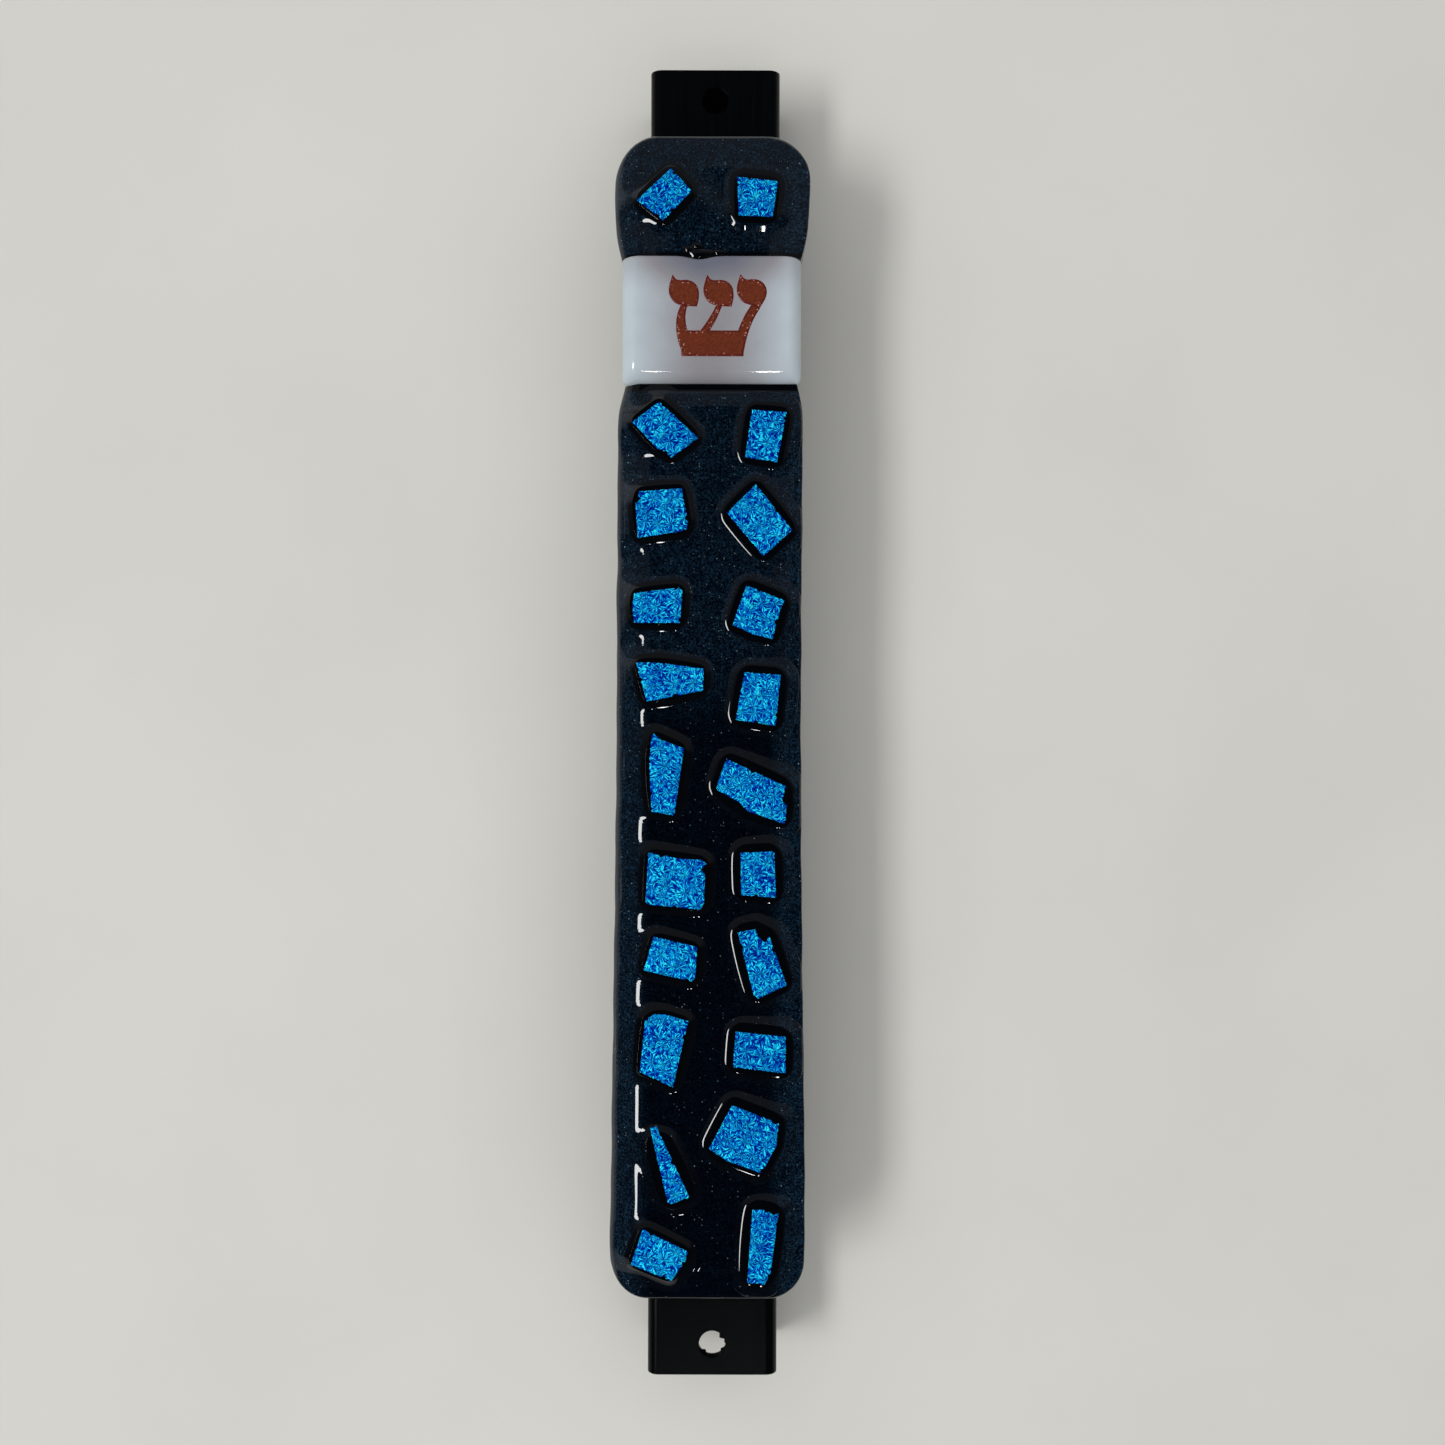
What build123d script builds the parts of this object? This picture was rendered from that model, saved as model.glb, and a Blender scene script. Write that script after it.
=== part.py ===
from build123d import *

import os
from dataclasses import dataclass

# Mezuzah case in millimetres. A fused-glass front is bonded to a black plastic U-channel, which
# screws to the doorpost and holds the rolled parchment in a clear sleeve.
# +Z points out of the glass face and +Y along the case, towards its top. The origin is midway
# between the two screw holes, in the plane that lies against the doorpost.

# U-channel, 5/8 inch wide and 1/2 inch deep, with its screw holes 6 inches apart
CHANNEL_LENGTH = 159.9
CHANNEL_WIDTH = 15.875
CHANNEL_DEPTH = 12.7
CHANNEL_WALL = 1.5
CHANNEL_CORNER_R = 1.4
CHANNEL_INNER_R = 0.4
HOLE_SPACING = 152.4
HOLE_R = 1.75

# Bonding tape between the channel and the glass
TAPE_WIDTH = 12.4
TAPE_LENGTH = 131.0
TAPE_THICK = 0.8
TAPE_CORNER_R = 1.0

# Fused glass: a base sheet, two dark caps and the white band between them
GLASS_SHIFT = -0.45  # the glass is bonded this far to one side of the channel's centre line
GLASS_TURN = -0.14  # and turned by this many degrees against it
GLASS_BOTTOM_Y = -68.9
GLASS_TOP_Y = 70.25
BAND_LOW_Y = 39.8
BAND_HIGH_Y = 54.6
FOOT_HALF = 11.6  # widest half width, near the lower end
FOOT_Y = -60.0
SHOULDER_HALF = 11.05  # half width where the lower cap starts to draw in towards the band
SHOULDER_Y = 34.5
NECK_HALF = 10.25  # half width of the dark glass just below the band
BAND_HALF = 10.55
NAPE_HALF = 10.8  # half width of the dark glass just above the band
HEAD_HALF = 11.65  # widest half width, near the upper end
HEAD_Y = 62.0
END_TAPER = 0.2  # each end is this much narrower, each side, than the widest place near it
FOOT_CORNER_R = 4.5
HEAD_CORNER_R = 5.2
SIDE_BLEND_R = 25.0
BASE_THICK = 3.0
CAP_THICK = 3.8
BASE_EDGE_R = 1.0
CAP_EDGE_R = 3.4
CAP_SHOULDER_R = 4.0
BAND_THICK = 4.5
BAND_CORNER_R = 1.0
BAND_EDGE_R = 1.9

# Dichroic chips: dark glass mounds, each with a coated face inside a clear black margin
CHIP_MARGIN = 1.05
CHIP_TOP_Z = 21.0
CHIP_EDGE_R = 1.0
CHIP_SKIRT = 2.8  # the mound reaches this far down the rounded edge of the cap
COAT_THICK = 0.1

# The letter Shin, fired onto the band
LETTER_THICK = 0.15
LETTER_HEAD_Y = 50.5
LETTER_HEADS_X = (-3.7, 0.4, 4.2)
LETTER_FOOT_X = (-4.1, 3.4)
LETTER_FOOT_Y = (42.8, 45.8)
LETTER_FOOT_TAPER = 0.3
LETTER_STROKE = 0.95

# Rolled parchment in a clear sleeve, free inside the channel
ROLL_LENGTH = 100.0
ROLL_R = 3.8
ROLL_CORE_R = 1.4
SLEEVE_LENGTH = 110.0
SLEEVE_R = 4.5
SLEEVE_WALL = 0.4
SLEEVE_LIFT = 0.3  # gap between the sleeve and the doorpost

# Levels in the stack, from the doorpost outwards
TAPE_Z = CHANNEL_DEPTH
BASE_Z = TAPE_Z + TAPE_THICK
CAP_Z = BASE_Z + BASE_THICK
BAND_TOP_Z = CAP_Z + BAND_THICK

# Where the glass's own centre line lies on the channel
GLASS_PLACE = Pos(GLASS_SHIFT, 0) * Rot(0, 0, GLASS_TURN)

# Right side of the glass below and above the band, upwards, as x, y and corner radius
FOOT_SIDE = [
    (FOOT_HALF - END_TAPER, GLASS_BOTTOM_Y, FOOT_CORNER_R),
    (FOOT_HALF, FOOT_Y, SIDE_BLEND_R),
    (SHOULDER_HALF, SHOULDER_Y, SIDE_BLEND_R),
]
HEAD_SIDE = [
    (HEAD_HALF, HEAD_Y, SIDE_BLEND_R),
    (HEAD_HALF - END_TAPER, GLASS_TOP_Y, HEAD_CORNER_R),
]

# Outline of each chip's coated face, clockwise from its upper left, in the plane of the glass
CHIP_FACES = {
    "upper_left": [(-9.1, 61.0), (-5.1, 64.8), (-2.7, 62.1), (-6.0, 58.6)],
    "upper_right": [(2.6, 63.8), (7.4, 63.3), (6.8, 59.1), (2.8, 59.2)],
    "left_1": [(-9.6, 35.1), (-6.4, 37.5), (-1.8, 33.2), (-5.0, 30.9), (-6.0, 31.8), (-6.6, 31.9)],
    "left_2": [(-8.8, 27.0), (-3.7, 27.4), (-3.4, 25.3), (-3.0, 23.6), (-3.2, 22.4),
               (-8.9, 21.5), (-9.2, 25.6), (-8.8, 25.8)],
    "left_3": [(-9.3, 15.1), (-4.1, 15.8), (-3.6, 15.4), (-3.9, 11.6), (-9.3, 11.6), (-9.5, 13.5)],
    "left_4": [(-9.1, 7.0), (-6.5, 7.0), (-1.1, 6.3), (-1.2, 3.7), (-7.8, 2.4)],
    "left_5": [(-7.2, -1.4), (-6.9, -1.3), (-6.1, -2.0), (-3.4, -3.0), (-4.5, -10.9),
               (-7.2, -10.5), (-7.5, -4.5)],
    "left_6": [(-7.6, -15.2), (-3.8, -15.9), (-1.5, -16.0), (-0.7, -16.5), (-1.4, -17.2),
               (-0.9, -17.8), (-1.0, -21.0), (-1.4, -21.9), (-7.9, -21.3)],
    "left_7": [(-6.9, -25.0), (-1.8, -26.2), (-2.0, -29.8), (-2.4, -30.3), (-8.1, -29.0)],
    "left_8": [(-7.9, -34.8), (-6.9, -34.1), (-5.5, -34.1), (-2.8, -34.9), (-4.6, -42.7),
               (-8.5, -40.9)],
    "left_9": [(-7.3, -47.5), (-6.5, -47.2), (-2.6, -55.5), (-4.7, -56.3), (-5.2, -56.1)],
    "left_10": [(-8.1, -59.2), (-2.8, -61.8), (-3.1, -63.0), (-4.7, -65.3), (-9.5, -63.4)],
    "right_1": [(4.4, 36.6), (8.5, 36.3), (7.4, 30.4), (3.6, 31.0)],
    "right_2": [(1.5, 24.5), (4.9, 27.9), (9.2, 22.5), (8.2, 21.6), (7.0, 20.5), (5.8, 19.4)],
    "right_3": [(3.8, 16.1), (8.3, 14.3), (7.8, 13.2), (6.9, 9.7), (4.6, 10.3), (2.2, 11.4)],
    "right_4": [(3.6, 5.9), (7.9, 5.6), (7.3, -0.4), (2.6, 0.3)],
    "right_5": [(1.5, -4.2), (8.5, -7.4), (8.1, -9.2), (8.6, -9.6), (8.5, -11.9), (4.1, -10.4),
                (3.0, -9.3), (0.3, -7.8)],
    "right_6": [(3.2, -15.2), (7.2, -15.0), (7.4, -20.5), (3.3, -20.2)],
    "right_7": [(2.9, -24.5), (5.0, -24.1), (5.3, -25.0), (6.1, -25.7), (6.6, -24.9), (8.7, -30.7),
                (5.3, -32.3), (4.8, -31.9)],
    "right_8": [(2.7, -36.1), (8.6, -36.7), (8.6, -41.0), (2.4, -40.3)],
    "right_9": [(2.3, -44.7), (7.8, -46.8), (7.5, -49.5), (5.8, -52.7), (1.6, -51.2),
                (-0.4, -49.8)],
    "right_10": [(4.7, -56.9), (6.2, -56.9), (7.2, -57.5), (7.8, -57.3), (6.9, -64.2),
                 (6.2, -65.7), (4.1, -65.5)],
}


@dataclass(frozen=True)
class Stroke:
    """One limb of the letter: a curve through three points, drawn at an even width."""

    start: tuple
    middle: tuple
    end: tuple
    width: float

    def face(self):
        return trace(Spline(self.start, self.middle, self.end), line_width=self.width)


def raise_face(face, low_z, height):
    """Stand a flat outline up as a solid, with its underside at low_z."""
    return Pos(0, 0, low_z) * extrude(face, amount=height)


def make_channel():
    """The U-channel, open at its back and its lower end, with a screw hole near each end."""
    outer = Pos(0, 0, CHANNEL_DEPTH / 2) * Box(CHANNEL_WIDTH, CHANNEL_LENGTH, CHANNEL_DEPTH)
    outer = fillet(outer.edges().filter_by(Axis.Y).group_by(Axis.Z)[-1], CHANNEL_CORNER_R)
    room_depth = CHANNEL_DEPTH - CHANNEL_WALL
    room_width = CHANNEL_WIDTH - 2 * CHANNEL_WALL
    room = Pos(0, -CHANNEL_WALL, room_depth / 2) * Box(room_width, CHANNEL_LENGTH, room_depth)
    room = fillet(room.edges().filter_by(Axis.Y).group_by(Axis.Z)[-1], CHANNEL_INNER_R)
    channel = outer - room
    for end in (-1, 1):
        drill = Cylinder(HOLE_R, 2 * CHANNEL_WALL)
        channel -= Pos(0, end * HOLE_SPACING / 2, CHANNEL_DEPTH - CHANNEL_WALL / 2) * drill
    return channel


def make_tape():
    """The strip of black bonding tape, centred under the glass."""
    middle_y = (GLASS_BOTTOM_Y + GLASS_TOP_Y) / 2
    strip = Pos(0, middle_y) * RectangleRounded(TAPE_WIDTH, TAPE_LENGTH, TAPE_CORNER_R)
    return raise_face(strip, TAPE_Z, TAPE_THICK)


def soft_outline(right_side):
    """A face, symmetric about the glass's centre line, from its right side's x, y and radius."""
    left_side = [(-x, y, r) for x, y, r in reversed(right_side)]
    corners = right_side + left_side
    points = [(x, y) for x, y, _ in corners]
    line = FilletPolyline(*points, radius=[r for _, _, r in corners], close=True)
    return GLASS_PLACE * make_face(line)


def make_base_glass():
    """The sheet that everything else is fused to, its back edge eased."""
    waist = [(NECK_HALF, BAND_LOW_Y, SIDE_BLEND_R), (NAPE_HALF, BAND_HIGH_Y, SIDE_BLEND_R)]
    sheet = raise_face(soft_outline(FOOT_SIDE + waist + HEAD_SIDE), BASE_Z, BASE_THICK)
    return fillet(sheet.edges().group_by(Axis.Z)[0], BASE_EDGE_R)


def make_cap(right_side):
    """A dark cap of glass with a full round edge, as the kiln leaves it."""
    cap = raise_face(soft_outline(right_side), CAP_Z, CAP_THICK)
    return fillet(cap.edges().group_by(Axis.Z)[-1], CAP_EDGE_R)


def make_band():
    """The white band, which stands proud of the dark glass on both sides of it."""
    middle_y = (BAND_LOW_Y + BAND_HIGH_Y) / 2
    face = Pos(0, middle_y) * Rectangle(2 * BAND_HALF, BAND_HIGH_Y - BAND_LOW_Y)
    band = raise_face(GLASS_PLACE * face, CAP_Z, BAND_THICK)
    band = fillet(band.edges().group_by(Axis.Z)[-1], BAND_EDGE_R)
    return fillet(band.edges().filter_by(Axis.Z), BAND_CORNER_R)


def make_coat(corners):
    """The thin dichroic coat on a chip, in the outline that the glass was nipped to."""
    return raise_face(make_face(Polyline(*corners, close=True)), CHIP_TOP_Z, COAT_THICK)


def make_chip(corners, cap):
    """A chip's dark glass: a soft-edged mound around its coat, settled onto the cap below it."""
    nipped = make_hull(Polyline(*corners, close=True).edges())
    footprint = offset(nipped, CHIP_MARGIN, kind=Kind.ARC)
    mound = raise_face(footprint, CHIP_TOP_Z - CHIP_SKIRT, CHIP_SKIRT)
    mound = fillet(mound.edges().group_by(Axis.Z)[-1], CHIP_EDGE_R)
    return mound - cap


def letter_head(x):
    """One head of the letter: a rounded body with a small crown at its upper left."""
    return Pos(x, LETTER_HEAD_Y) * make_face(
        [
            Line((-1.4, 0.9), (-1.2, 1.8)),
            ThreePointArc((-1.2, 1.8), (-0.9, 1.5), (-0.4, 1.4)),
            ThreePointArc((-0.4, 1.4), (1.4, 0.8), (1.7, -0.5)),
            ThreePointArc((1.7, -0.5), (1.5, -1.3), (0.8, -1.6)),
            ThreePointArc((0.8, -1.6), (-0.9, -1.4), (-1.6, -0.2)),
            ThreePointArc((-1.6, -0.2), (-1.6, 0.4), (-1.4, 0.9)),
        ]
    )


def make_letter():
    """The letter Shin: three crowned heads on limbs that gather in one broad foot."""
    left_x, middle_x, right_x = LETTER_HEADS_X
    foot_left, foot_right = LETTER_FOOT_X
    foot_low, foot_high = LETTER_FOOT_Y
    limbs = [
        Stroke((left_x, LETTER_HEAD_Y), (left_x, 47.6), (foot_left + 1.1, 44.5), LETTER_STROKE),
        Stroke((middle_x + 0.2, LETTER_HEAD_Y), (-0.3, 47.6), (-1.6, 44.5), LETTER_STROKE),
        Stroke((right_x + 0.9, LETTER_HEAD_Y), (4.1, 47.4), (foot_right - 0.7, 44.2), 1.2),
    ]
    foot = make_face(
        Polyline(
            (foot_left, foot_high),
            (foot_right, foot_high),
            (foot_right - LETTER_FOOT_TAPER, foot_low),
            (foot_left + LETTER_FOOT_TAPER, foot_low),
            close=True,
        )
    )
    letter = foot
    for x in LETTER_HEADS_X:
        letter += letter_head(x)
    for limb in limbs:
        letter += limb.face()
    return raise_face(letter, BAND_TOP_Z, LETTER_THICK)


def make_tube(length, outer_r, inner_r):
    """A round tube along Y, centred in the channel's hollow beside the doorpost."""
    tube = Cylinder(outer_r, length) - Cylinder(inner_r, 2 * length)
    return Pos(0, 0, SLEEVE_LIFT + SLEEVE_R) * Rot(90, 0, 0) * tube


def make_all():
    """Every piece by its node's name."""
    lower_cap = make_cap(FOOT_SIDE + [(NECK_HALF, BAND_LOW_Y, CAP_SHOULDER_R)])
    upper_cap = make_cap([(NAPE_HALF, BAND_HIGH_Y, CAP_SHOULDER_R)] + HEAD_SIDE)
    nodes = {
        "back_channel": make_channel(),
        "bonding_tape": make_tape(),
        "base_glass": make_base_glass(),
        "lower_cap_glass": lower_cap,
        "upper_cap_glass": upper_cap,
        "white_band": make_band(),
        "shin_letter": make_letter(),
        "scroll_sleeve": make_tube(SLEEVE_LENGTH, SLEEVE_R, SLEEVE_R - SLEEVE_WALL),
        "parchment_scroll": make_tube(ROLL_LENGTH, ROLL_R, ROLL_CORE_R),
    }
    for name, corners in CHIP_FACES.items():
        cap = upper_cap if name.startswith("upper") else lower_cap
        nodes[f"chip_{name}"] = make_chip(corners, cap)
        nodes[f"coat_{name}"] = make_coat(corners)
    return nodes


os.makedirs("parts", exist_ok=True)
for node_name, solid in make_all().items():
    export_step(solid, f"parts/{node_name}.step")
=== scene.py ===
import logging
import math
from collections.abc import Callable
from dataclasses import dataclass, field
from enum import Enum
from functools import partial

import bmesh
import bpy
import numpy as np
from mathutils import Matrix, Vector, geometry


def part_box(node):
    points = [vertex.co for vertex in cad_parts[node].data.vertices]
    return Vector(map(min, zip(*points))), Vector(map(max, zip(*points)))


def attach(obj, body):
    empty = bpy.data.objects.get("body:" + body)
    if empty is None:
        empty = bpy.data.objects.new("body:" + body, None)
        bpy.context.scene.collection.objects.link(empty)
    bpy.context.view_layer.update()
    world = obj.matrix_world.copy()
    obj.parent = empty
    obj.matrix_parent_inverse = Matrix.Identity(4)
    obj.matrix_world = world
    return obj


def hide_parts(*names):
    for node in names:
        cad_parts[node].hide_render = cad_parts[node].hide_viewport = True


# Looks for a mezuzah case: a fused-glass front of dark aventurine glass, dichroic chips and an
# opal band, on a black plastic channel that holds the rolled parchment.
# Every length in the classes is in millimetres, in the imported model's own frame. MM turns it to
# metres where a mesh is made.

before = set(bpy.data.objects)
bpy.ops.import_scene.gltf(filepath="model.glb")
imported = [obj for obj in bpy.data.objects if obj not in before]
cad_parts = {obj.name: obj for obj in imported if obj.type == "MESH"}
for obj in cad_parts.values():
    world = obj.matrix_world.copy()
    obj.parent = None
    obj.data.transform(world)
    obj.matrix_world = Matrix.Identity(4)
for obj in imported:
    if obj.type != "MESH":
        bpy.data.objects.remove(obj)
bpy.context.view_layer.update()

MM = 0.001
LOG = logging.getLogger("mezuzah_case")
FIRST_SEED = 11  # of the first chip, by name; each one after it has the next
MERGE_M = 1e-7  # points closer than this, in metres, are one
Array = np.ndarray
Material = bpy.types.Material
Object = bpy.types.Object
Node = bpy.types.Node
Socket = bpy.types.NodeSocket
Tree = bpy.types.NodeTree
Pair = tuple[float, float]
Stops = tuple[tuple[float, str], ...]  # a ramp's places, and their colours' hex codes
Adder = Callable[..., Node]  # add_node, once it has its tree
Links = dict[str, Node | Socket]  # what a shader's inputs link to, by their names
Measure = Callable[[Array, Array], Array]  # a number from places across and along


class Body(Enum):
    """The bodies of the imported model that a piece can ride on."""

    CASE = "case"
    SLEEVE = "sleeve"
    PARCHMENT = "parchment"


class Slot(Enum):
    """The record's material slots."""

    CHANNEL = "channel_plastic"
    TAPE = "tape_black"
    DARK_GLASS = "dark_glass"
    OPAL = "opal_glass"
    CHIP = "chip_glass"
    COAT = "dichroic_coat"
    ENAMEL = "letter_enamel"
    SLEEVE = "clear_sleeve"
    PARCHMENT = "parchment"


# ---------------------------------------------------------------- small helpers


def linear(code: str) -> tuple[float, float, float, float]:
    """The linear colour of an sRGB hex code.

    Args:
        code: six hex digits, such as "1A2B3C".

    Returns:
        Red, green, blue and an alpha of 1.
    """
    parts = [int(code[i:i + 2], 16) / 255 for i in (0, 2, 4)]
    red, green, blue = (c / 12.92 if c <= 0.04045 else ((c + 0.055) / 1.055) ** 2.4 for c in parts)
    return red, green, blue, 1.0


def ease(low: float, high: float, x: Array) -> Array:
    """A smooth step from 0 at low to 1 at high: 3t^2 - 2t^3, with t held between 0 and 1."""
    t = np.clip((x - low) / (high - low), 0.0, 1.0)
    return t * t * (3 - 2 * t)


def turns(count: int) -> Array:
    """Angles spaced evenly round a full turn, from 0."""
    return np.linspace(0, math.tau, count, endpoint=False)


def crowded(count: int, start: float = -1.0) -> Array:
    """Numbers from start to 1, spaced like a sine, so that they crowd towards 1, and -1 as well."""
    return np.sin(np.linspace(start, 1, count) * math.pi / 2)


def quarter_round(depth: Array, reach: float) -> Array:
    """How high a rounded edge stands, from 0 at the edge to 1 at reach in: root(1 - (1 - u)^2)."""
    return (1 - (1 - np.clip(depth / reach, 0, 1)) ** 2) ** 0.5


def smooth_max(a: Array, b: Array, width: float) -> Array:
    """The greater of two heights, with the crease between them rounded over a width."""
    share = np.clip(0.5 + 0.5 * (a - b) / width, 0, 1)
    return b + (a - b) * share + width * share * (1 - share)


def parabola(depth: Array, reach: float) -> Array:
    """How high a gentler edge stands, from 0 at the edge to 1 at reach in: u(2 - u)."""
    inward = np.clip(depth / reach, 0, 1)
    return inward * (2 - inward)


def box_mm(node: str) -> tuple[Array, Array]:
    """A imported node's lowest and highest corners, in millimetres."""
    low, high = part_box(node)
    return np.array(low) / MM, np.array(high) / MM


def grid_quads(rows: int, columns: int, wrap: bool = False) -> Array:
    """The faces of a grid of points, stored row by row.

    Args:
        rows: how many rows of points there are.
        columns: how many points there are in a row.
        wrap: whether a row's last point joins its first.

    Returns:
        One row of four point numbers per face, anticlockwise where rows run up and columns right.
    """
    index = np.arange(rows * columns).reshape(rows, columns)
    if wrap:
        index = np.hstack([index, index[:, :1]])
    return np.stack([index[:-1, :-1], index[:-1, 1:], index[1:, 1:], index[1:, :-1]], -1).reshape(-1, 4)


def along_loop(corners: Array, step: float) -> Array:
    """Points spaced evenly by length along a closed line through some corners, corner 0 first.

    Args:
        corners: the line's corners, one x, y a row.
        step: the wanted spacing.

    Returns:
        The points, one x, y a row.
    """
    closed = np.vstack([corners, corners[:1]])
    run = np.concatenate([[0], np.cumsum(np.hypot(*np.diff(closed, axis=0).T))])
    at = np.linspace(0, run[-1], max(8, round(run[-1] / step)), endpoint=False)
    return np.column_stack([np.interp(at, run, closed[:, 0]), np.interp(at, run, closed[:, 1])])


def bend(start: Array, pull: Array, end: Array, count: int = 16) -> Array:
    """Points on the curve from start to end that leans towards pull: a quadratic Bezier."""
    t = np.linspace(0, 1, count)[:, None]
    return (1 - t) ** 2 * np.array(start) + 2 * t * (1 - t) * np.array(pull) + t ** 2 * np.array(end)


def soften(corners: Array, times: int = 3) -> Array:
    """Round a closed line by cutting its corners at a quarter of each side, some times over."""
    for _ in range(times):
        onward = np.roll(corners, -1, 0)
        cuts = [0.75 * corners + 0.25 * onward, 0.25 * corners + 0.75 * onward]
        corners = np.stack(cuts, 1).reshape(-1, 2)
    return corners


def inset(x: Array, y: Array, line: Array) -> Array:
    """How far points lie inside a closed line, negative outside it.

    The nearest point of each side is found by dropping a perpendicular onto it, held between its
    ends. The sign comes from how many sides a ray towards +X crosses.
    """
    best = np.full(np.shape(x), np.inf)
    inside = np.zeros(np.shape(x), bool)
    for (ax, ay), (bx, by) in zip(line, np.roll(line, -1, 0)):
        dx, dy = bx - ax, by - ay
        t = np.clip(((x - ax) * dx + (y - ay) * dy) / (dx * dx + dy * dy + 1e-12), 0, 1)
        best = np.minimum(best, np.hypot(x - ax - t * dx, y - ay - t * dy))
        if dy:
            inside ^= ((ay > y) != (by > y)) & (x < ax + (y - ay) * dx / dy)
    return np.where(inside, best, -best)


def loop_normals(loop: Array) -> Array:
    """Outward unit normals of an anticlockwise closed line, from the two points beside each."""
    tangent = np.roll(loop, -1, 0) - np.roll(loop, 1, 0)
    normal = np.column_stack([tangent[:, 1], -tangent[:, 0]])
    return normal / np.linalg.norm(normal, axis=1, keepdims=True)


@dataclass
class Shell:
    """A surface in millimetres: its points, its four-sided faces and its many-sided ones."""

    points: Array
    quads: Array
    caps: list[list[int]] = field(default_factory=list)
    marks: dict[str, Array] = field(default_factory=dict)

    def piece(self, name: str, material: Material, smooth: bool = True) -> Object:
        """Make the surface an object at the origin, with doubled points merged.

        Args:
            name: the object's name.
            material: what it is made of.
            smooth: whether its faces shade as one curved surface.

        Returns:
            The new object.
        """
        mesh = bpy.data.meshes.new(name)
        mesh.from_pydata((self.points * MM).tolist(), [], self.quads.tolist() + self.caps)
        for label, values in self.marks.items():
            mesh.attributes.new(label, "FLOAT", "POINT").data.foreach_set(
                "value", np.asarray(values, np.float32).ravel()
            )
        work = bmesh.new()
        work.from_mesh(mesh)
        bmesh.ops.remove_doubles(work, verts=work.verts, dist=MERGE_M)
        for face in work.faces:
            face.smooth = smooth and len(face.verts) < 5
        work.to_mesh(mesh)
        work.free()
        mesh.materials.append(material)
        made = bpy.data.objects.new(name, mesh)
        bpy.context.scene.collection.objects.link(made)
        return made


def closed_grid(points: Array, marks: dict[str, Array]) -> Shell:
    """A grid of points, its rows running up, closed by one face from rim to rim underneath."""
    index = np.arange(points.shape[0] * points.shape[1]).reshape(points.shape[:2])
    rim = np.concatenate([index[0, :-1], index[:-1, -1], index[-1, :0:-1], index[:0:-1, 0]])
    return Shell(points.reshape(-1, 3), grid_quads(*index.shape), [rim[::-1].tolist()], marks)


def skirted(face: Array, floor_z: float, label: str, mark: Array) -> Shell:
    """A grid with a skirt on all sides, straight down to a floor, and one mark on its points."""
    points = np.pad(face, ((1, 1), (1, 1), (0, 0)), mode="edge")
    points[[0, -1], :, 2] = points[:, [0, -1], 2] = floor_z
    return closed_grid(points, {label: np.pad(mark, 1, mode="edge")})


def domed(rings: Array, marks: dict[str, Array]) -> Shell:
    """Rings of points that run outwards and down from a middle, closed by one face at the last.

    Each ring's points are in a row, anticlockwise, so each face is turned over to look up.
    """
    count, around = rings.shape[:2]
    quads = grid_quads(count, around, wrap=True)[:, ::-1]
    base = list(range(around * (count - 1), around * count))
    return Shell(rings.reshape(-1, 3), quads, [base[::-1]], marks)


def settle(piece: Object, body: Body, slot: Slot, *nodes: str) -> Object:
    """Say which body a new piece rides on and which nodes it stands for."""
    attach(piece, body.value)
    if nodes:
        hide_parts(*nodes)
    count = len(piece.data.vertices)
    LOG.info("made %s, %d points, for %s", piece.name, count, list(nodes) or "no node")
    return piece


def dress(node: str, material: Material) -> None:
    """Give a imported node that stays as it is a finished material."""
    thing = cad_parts[node]
    thing.data.materials.clear()
    thing.data.materials.append(material)
    LOG.info("dressed %s", node)


# ---------------------------------------------------------------- finishes


def add_node(tree: Tree, kind: str, inputs: dict | tuple = (), stops: Stops = (), **settings) -> Node:
    """Add one node with its settings and links.

    Args:
        tree: the node tree that it joins.
        kind: the node's type, without the ShaderNode that each type starts with.
        inputs: by the inputs' names or numbers, or in their order, what each is given: a value, a
            socket to link to it, or a node whose first output is linked to it.
        stops: for a ramp, the places and hex codes of its colours.
        settings: the node's own properties.

    Returns:
        The new node.
    """
    node = tree.nodes.new("ShaderNode" + kind)
    for name, value in settings.items():
        setattr(node, name, value)
    for key, value in (inputs if isinstance(inputs, dict) else dict(enumerate(inputs))).items():
        value = value.outputs[0] if isinstance(value, Node) else value
        if isinstance(value, Socket):
            tree.links.new(value, node.inputs[key])
        else:
            node.inputs[key].default_value = value
    elements = node.color_ramp.elements if stops else ()
    while len(elements) < len(stops):
        elements.new(1.0)
    for element, (place, code) in zip(elements, stops):
        element.position, element.color = place, linear(code)
    return node


@dataclass(frozen=True)
class Finish:
    """What the finishes share: a name, the shader's constants, and a pattern of their own."""

    name: str = "finish"
    roughness: float = 0.5
    ior: float = 1.5
    metallic: float = 0.0
    specular: float = 0.5
    transmission: float = 0.0

    def build(self) -> Material:
        """Make the material, with its constants on the shader's own sockets."""
        material = bpy.data.materials.new(self.name)
        material.use_nodes = True
        material.node_tree.nodes.clear()
        add = partial(add_node, material.node_tree)
        place = add("Mapping", {"Vector": add("TexCoord").outputs["Object"], "Scale": (1 / MM,) * 3})
        shader = add("BsdfPrincipled", {
            "Roughness": self.roughness, "IOR": self.ior, "Metallic": self.metallic,
            "Specular IOR Level": self.specular, "Transmission Weight": self.transmission,
            **self.paint(add, place),
        })
        add("OutputMaterial", (shader,))
        return material

    def paint(self, add: Adder, place: Node) -> Links:
        """Add the finish's own pattern.

        Args:
            add: add_node, for the finish's own node tree.
            place: the node that gives the point on the object, in millimetres.

        Returns:
            What the shader's inputs link to, by their names.
        """
        raise NotImplementedError


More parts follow.
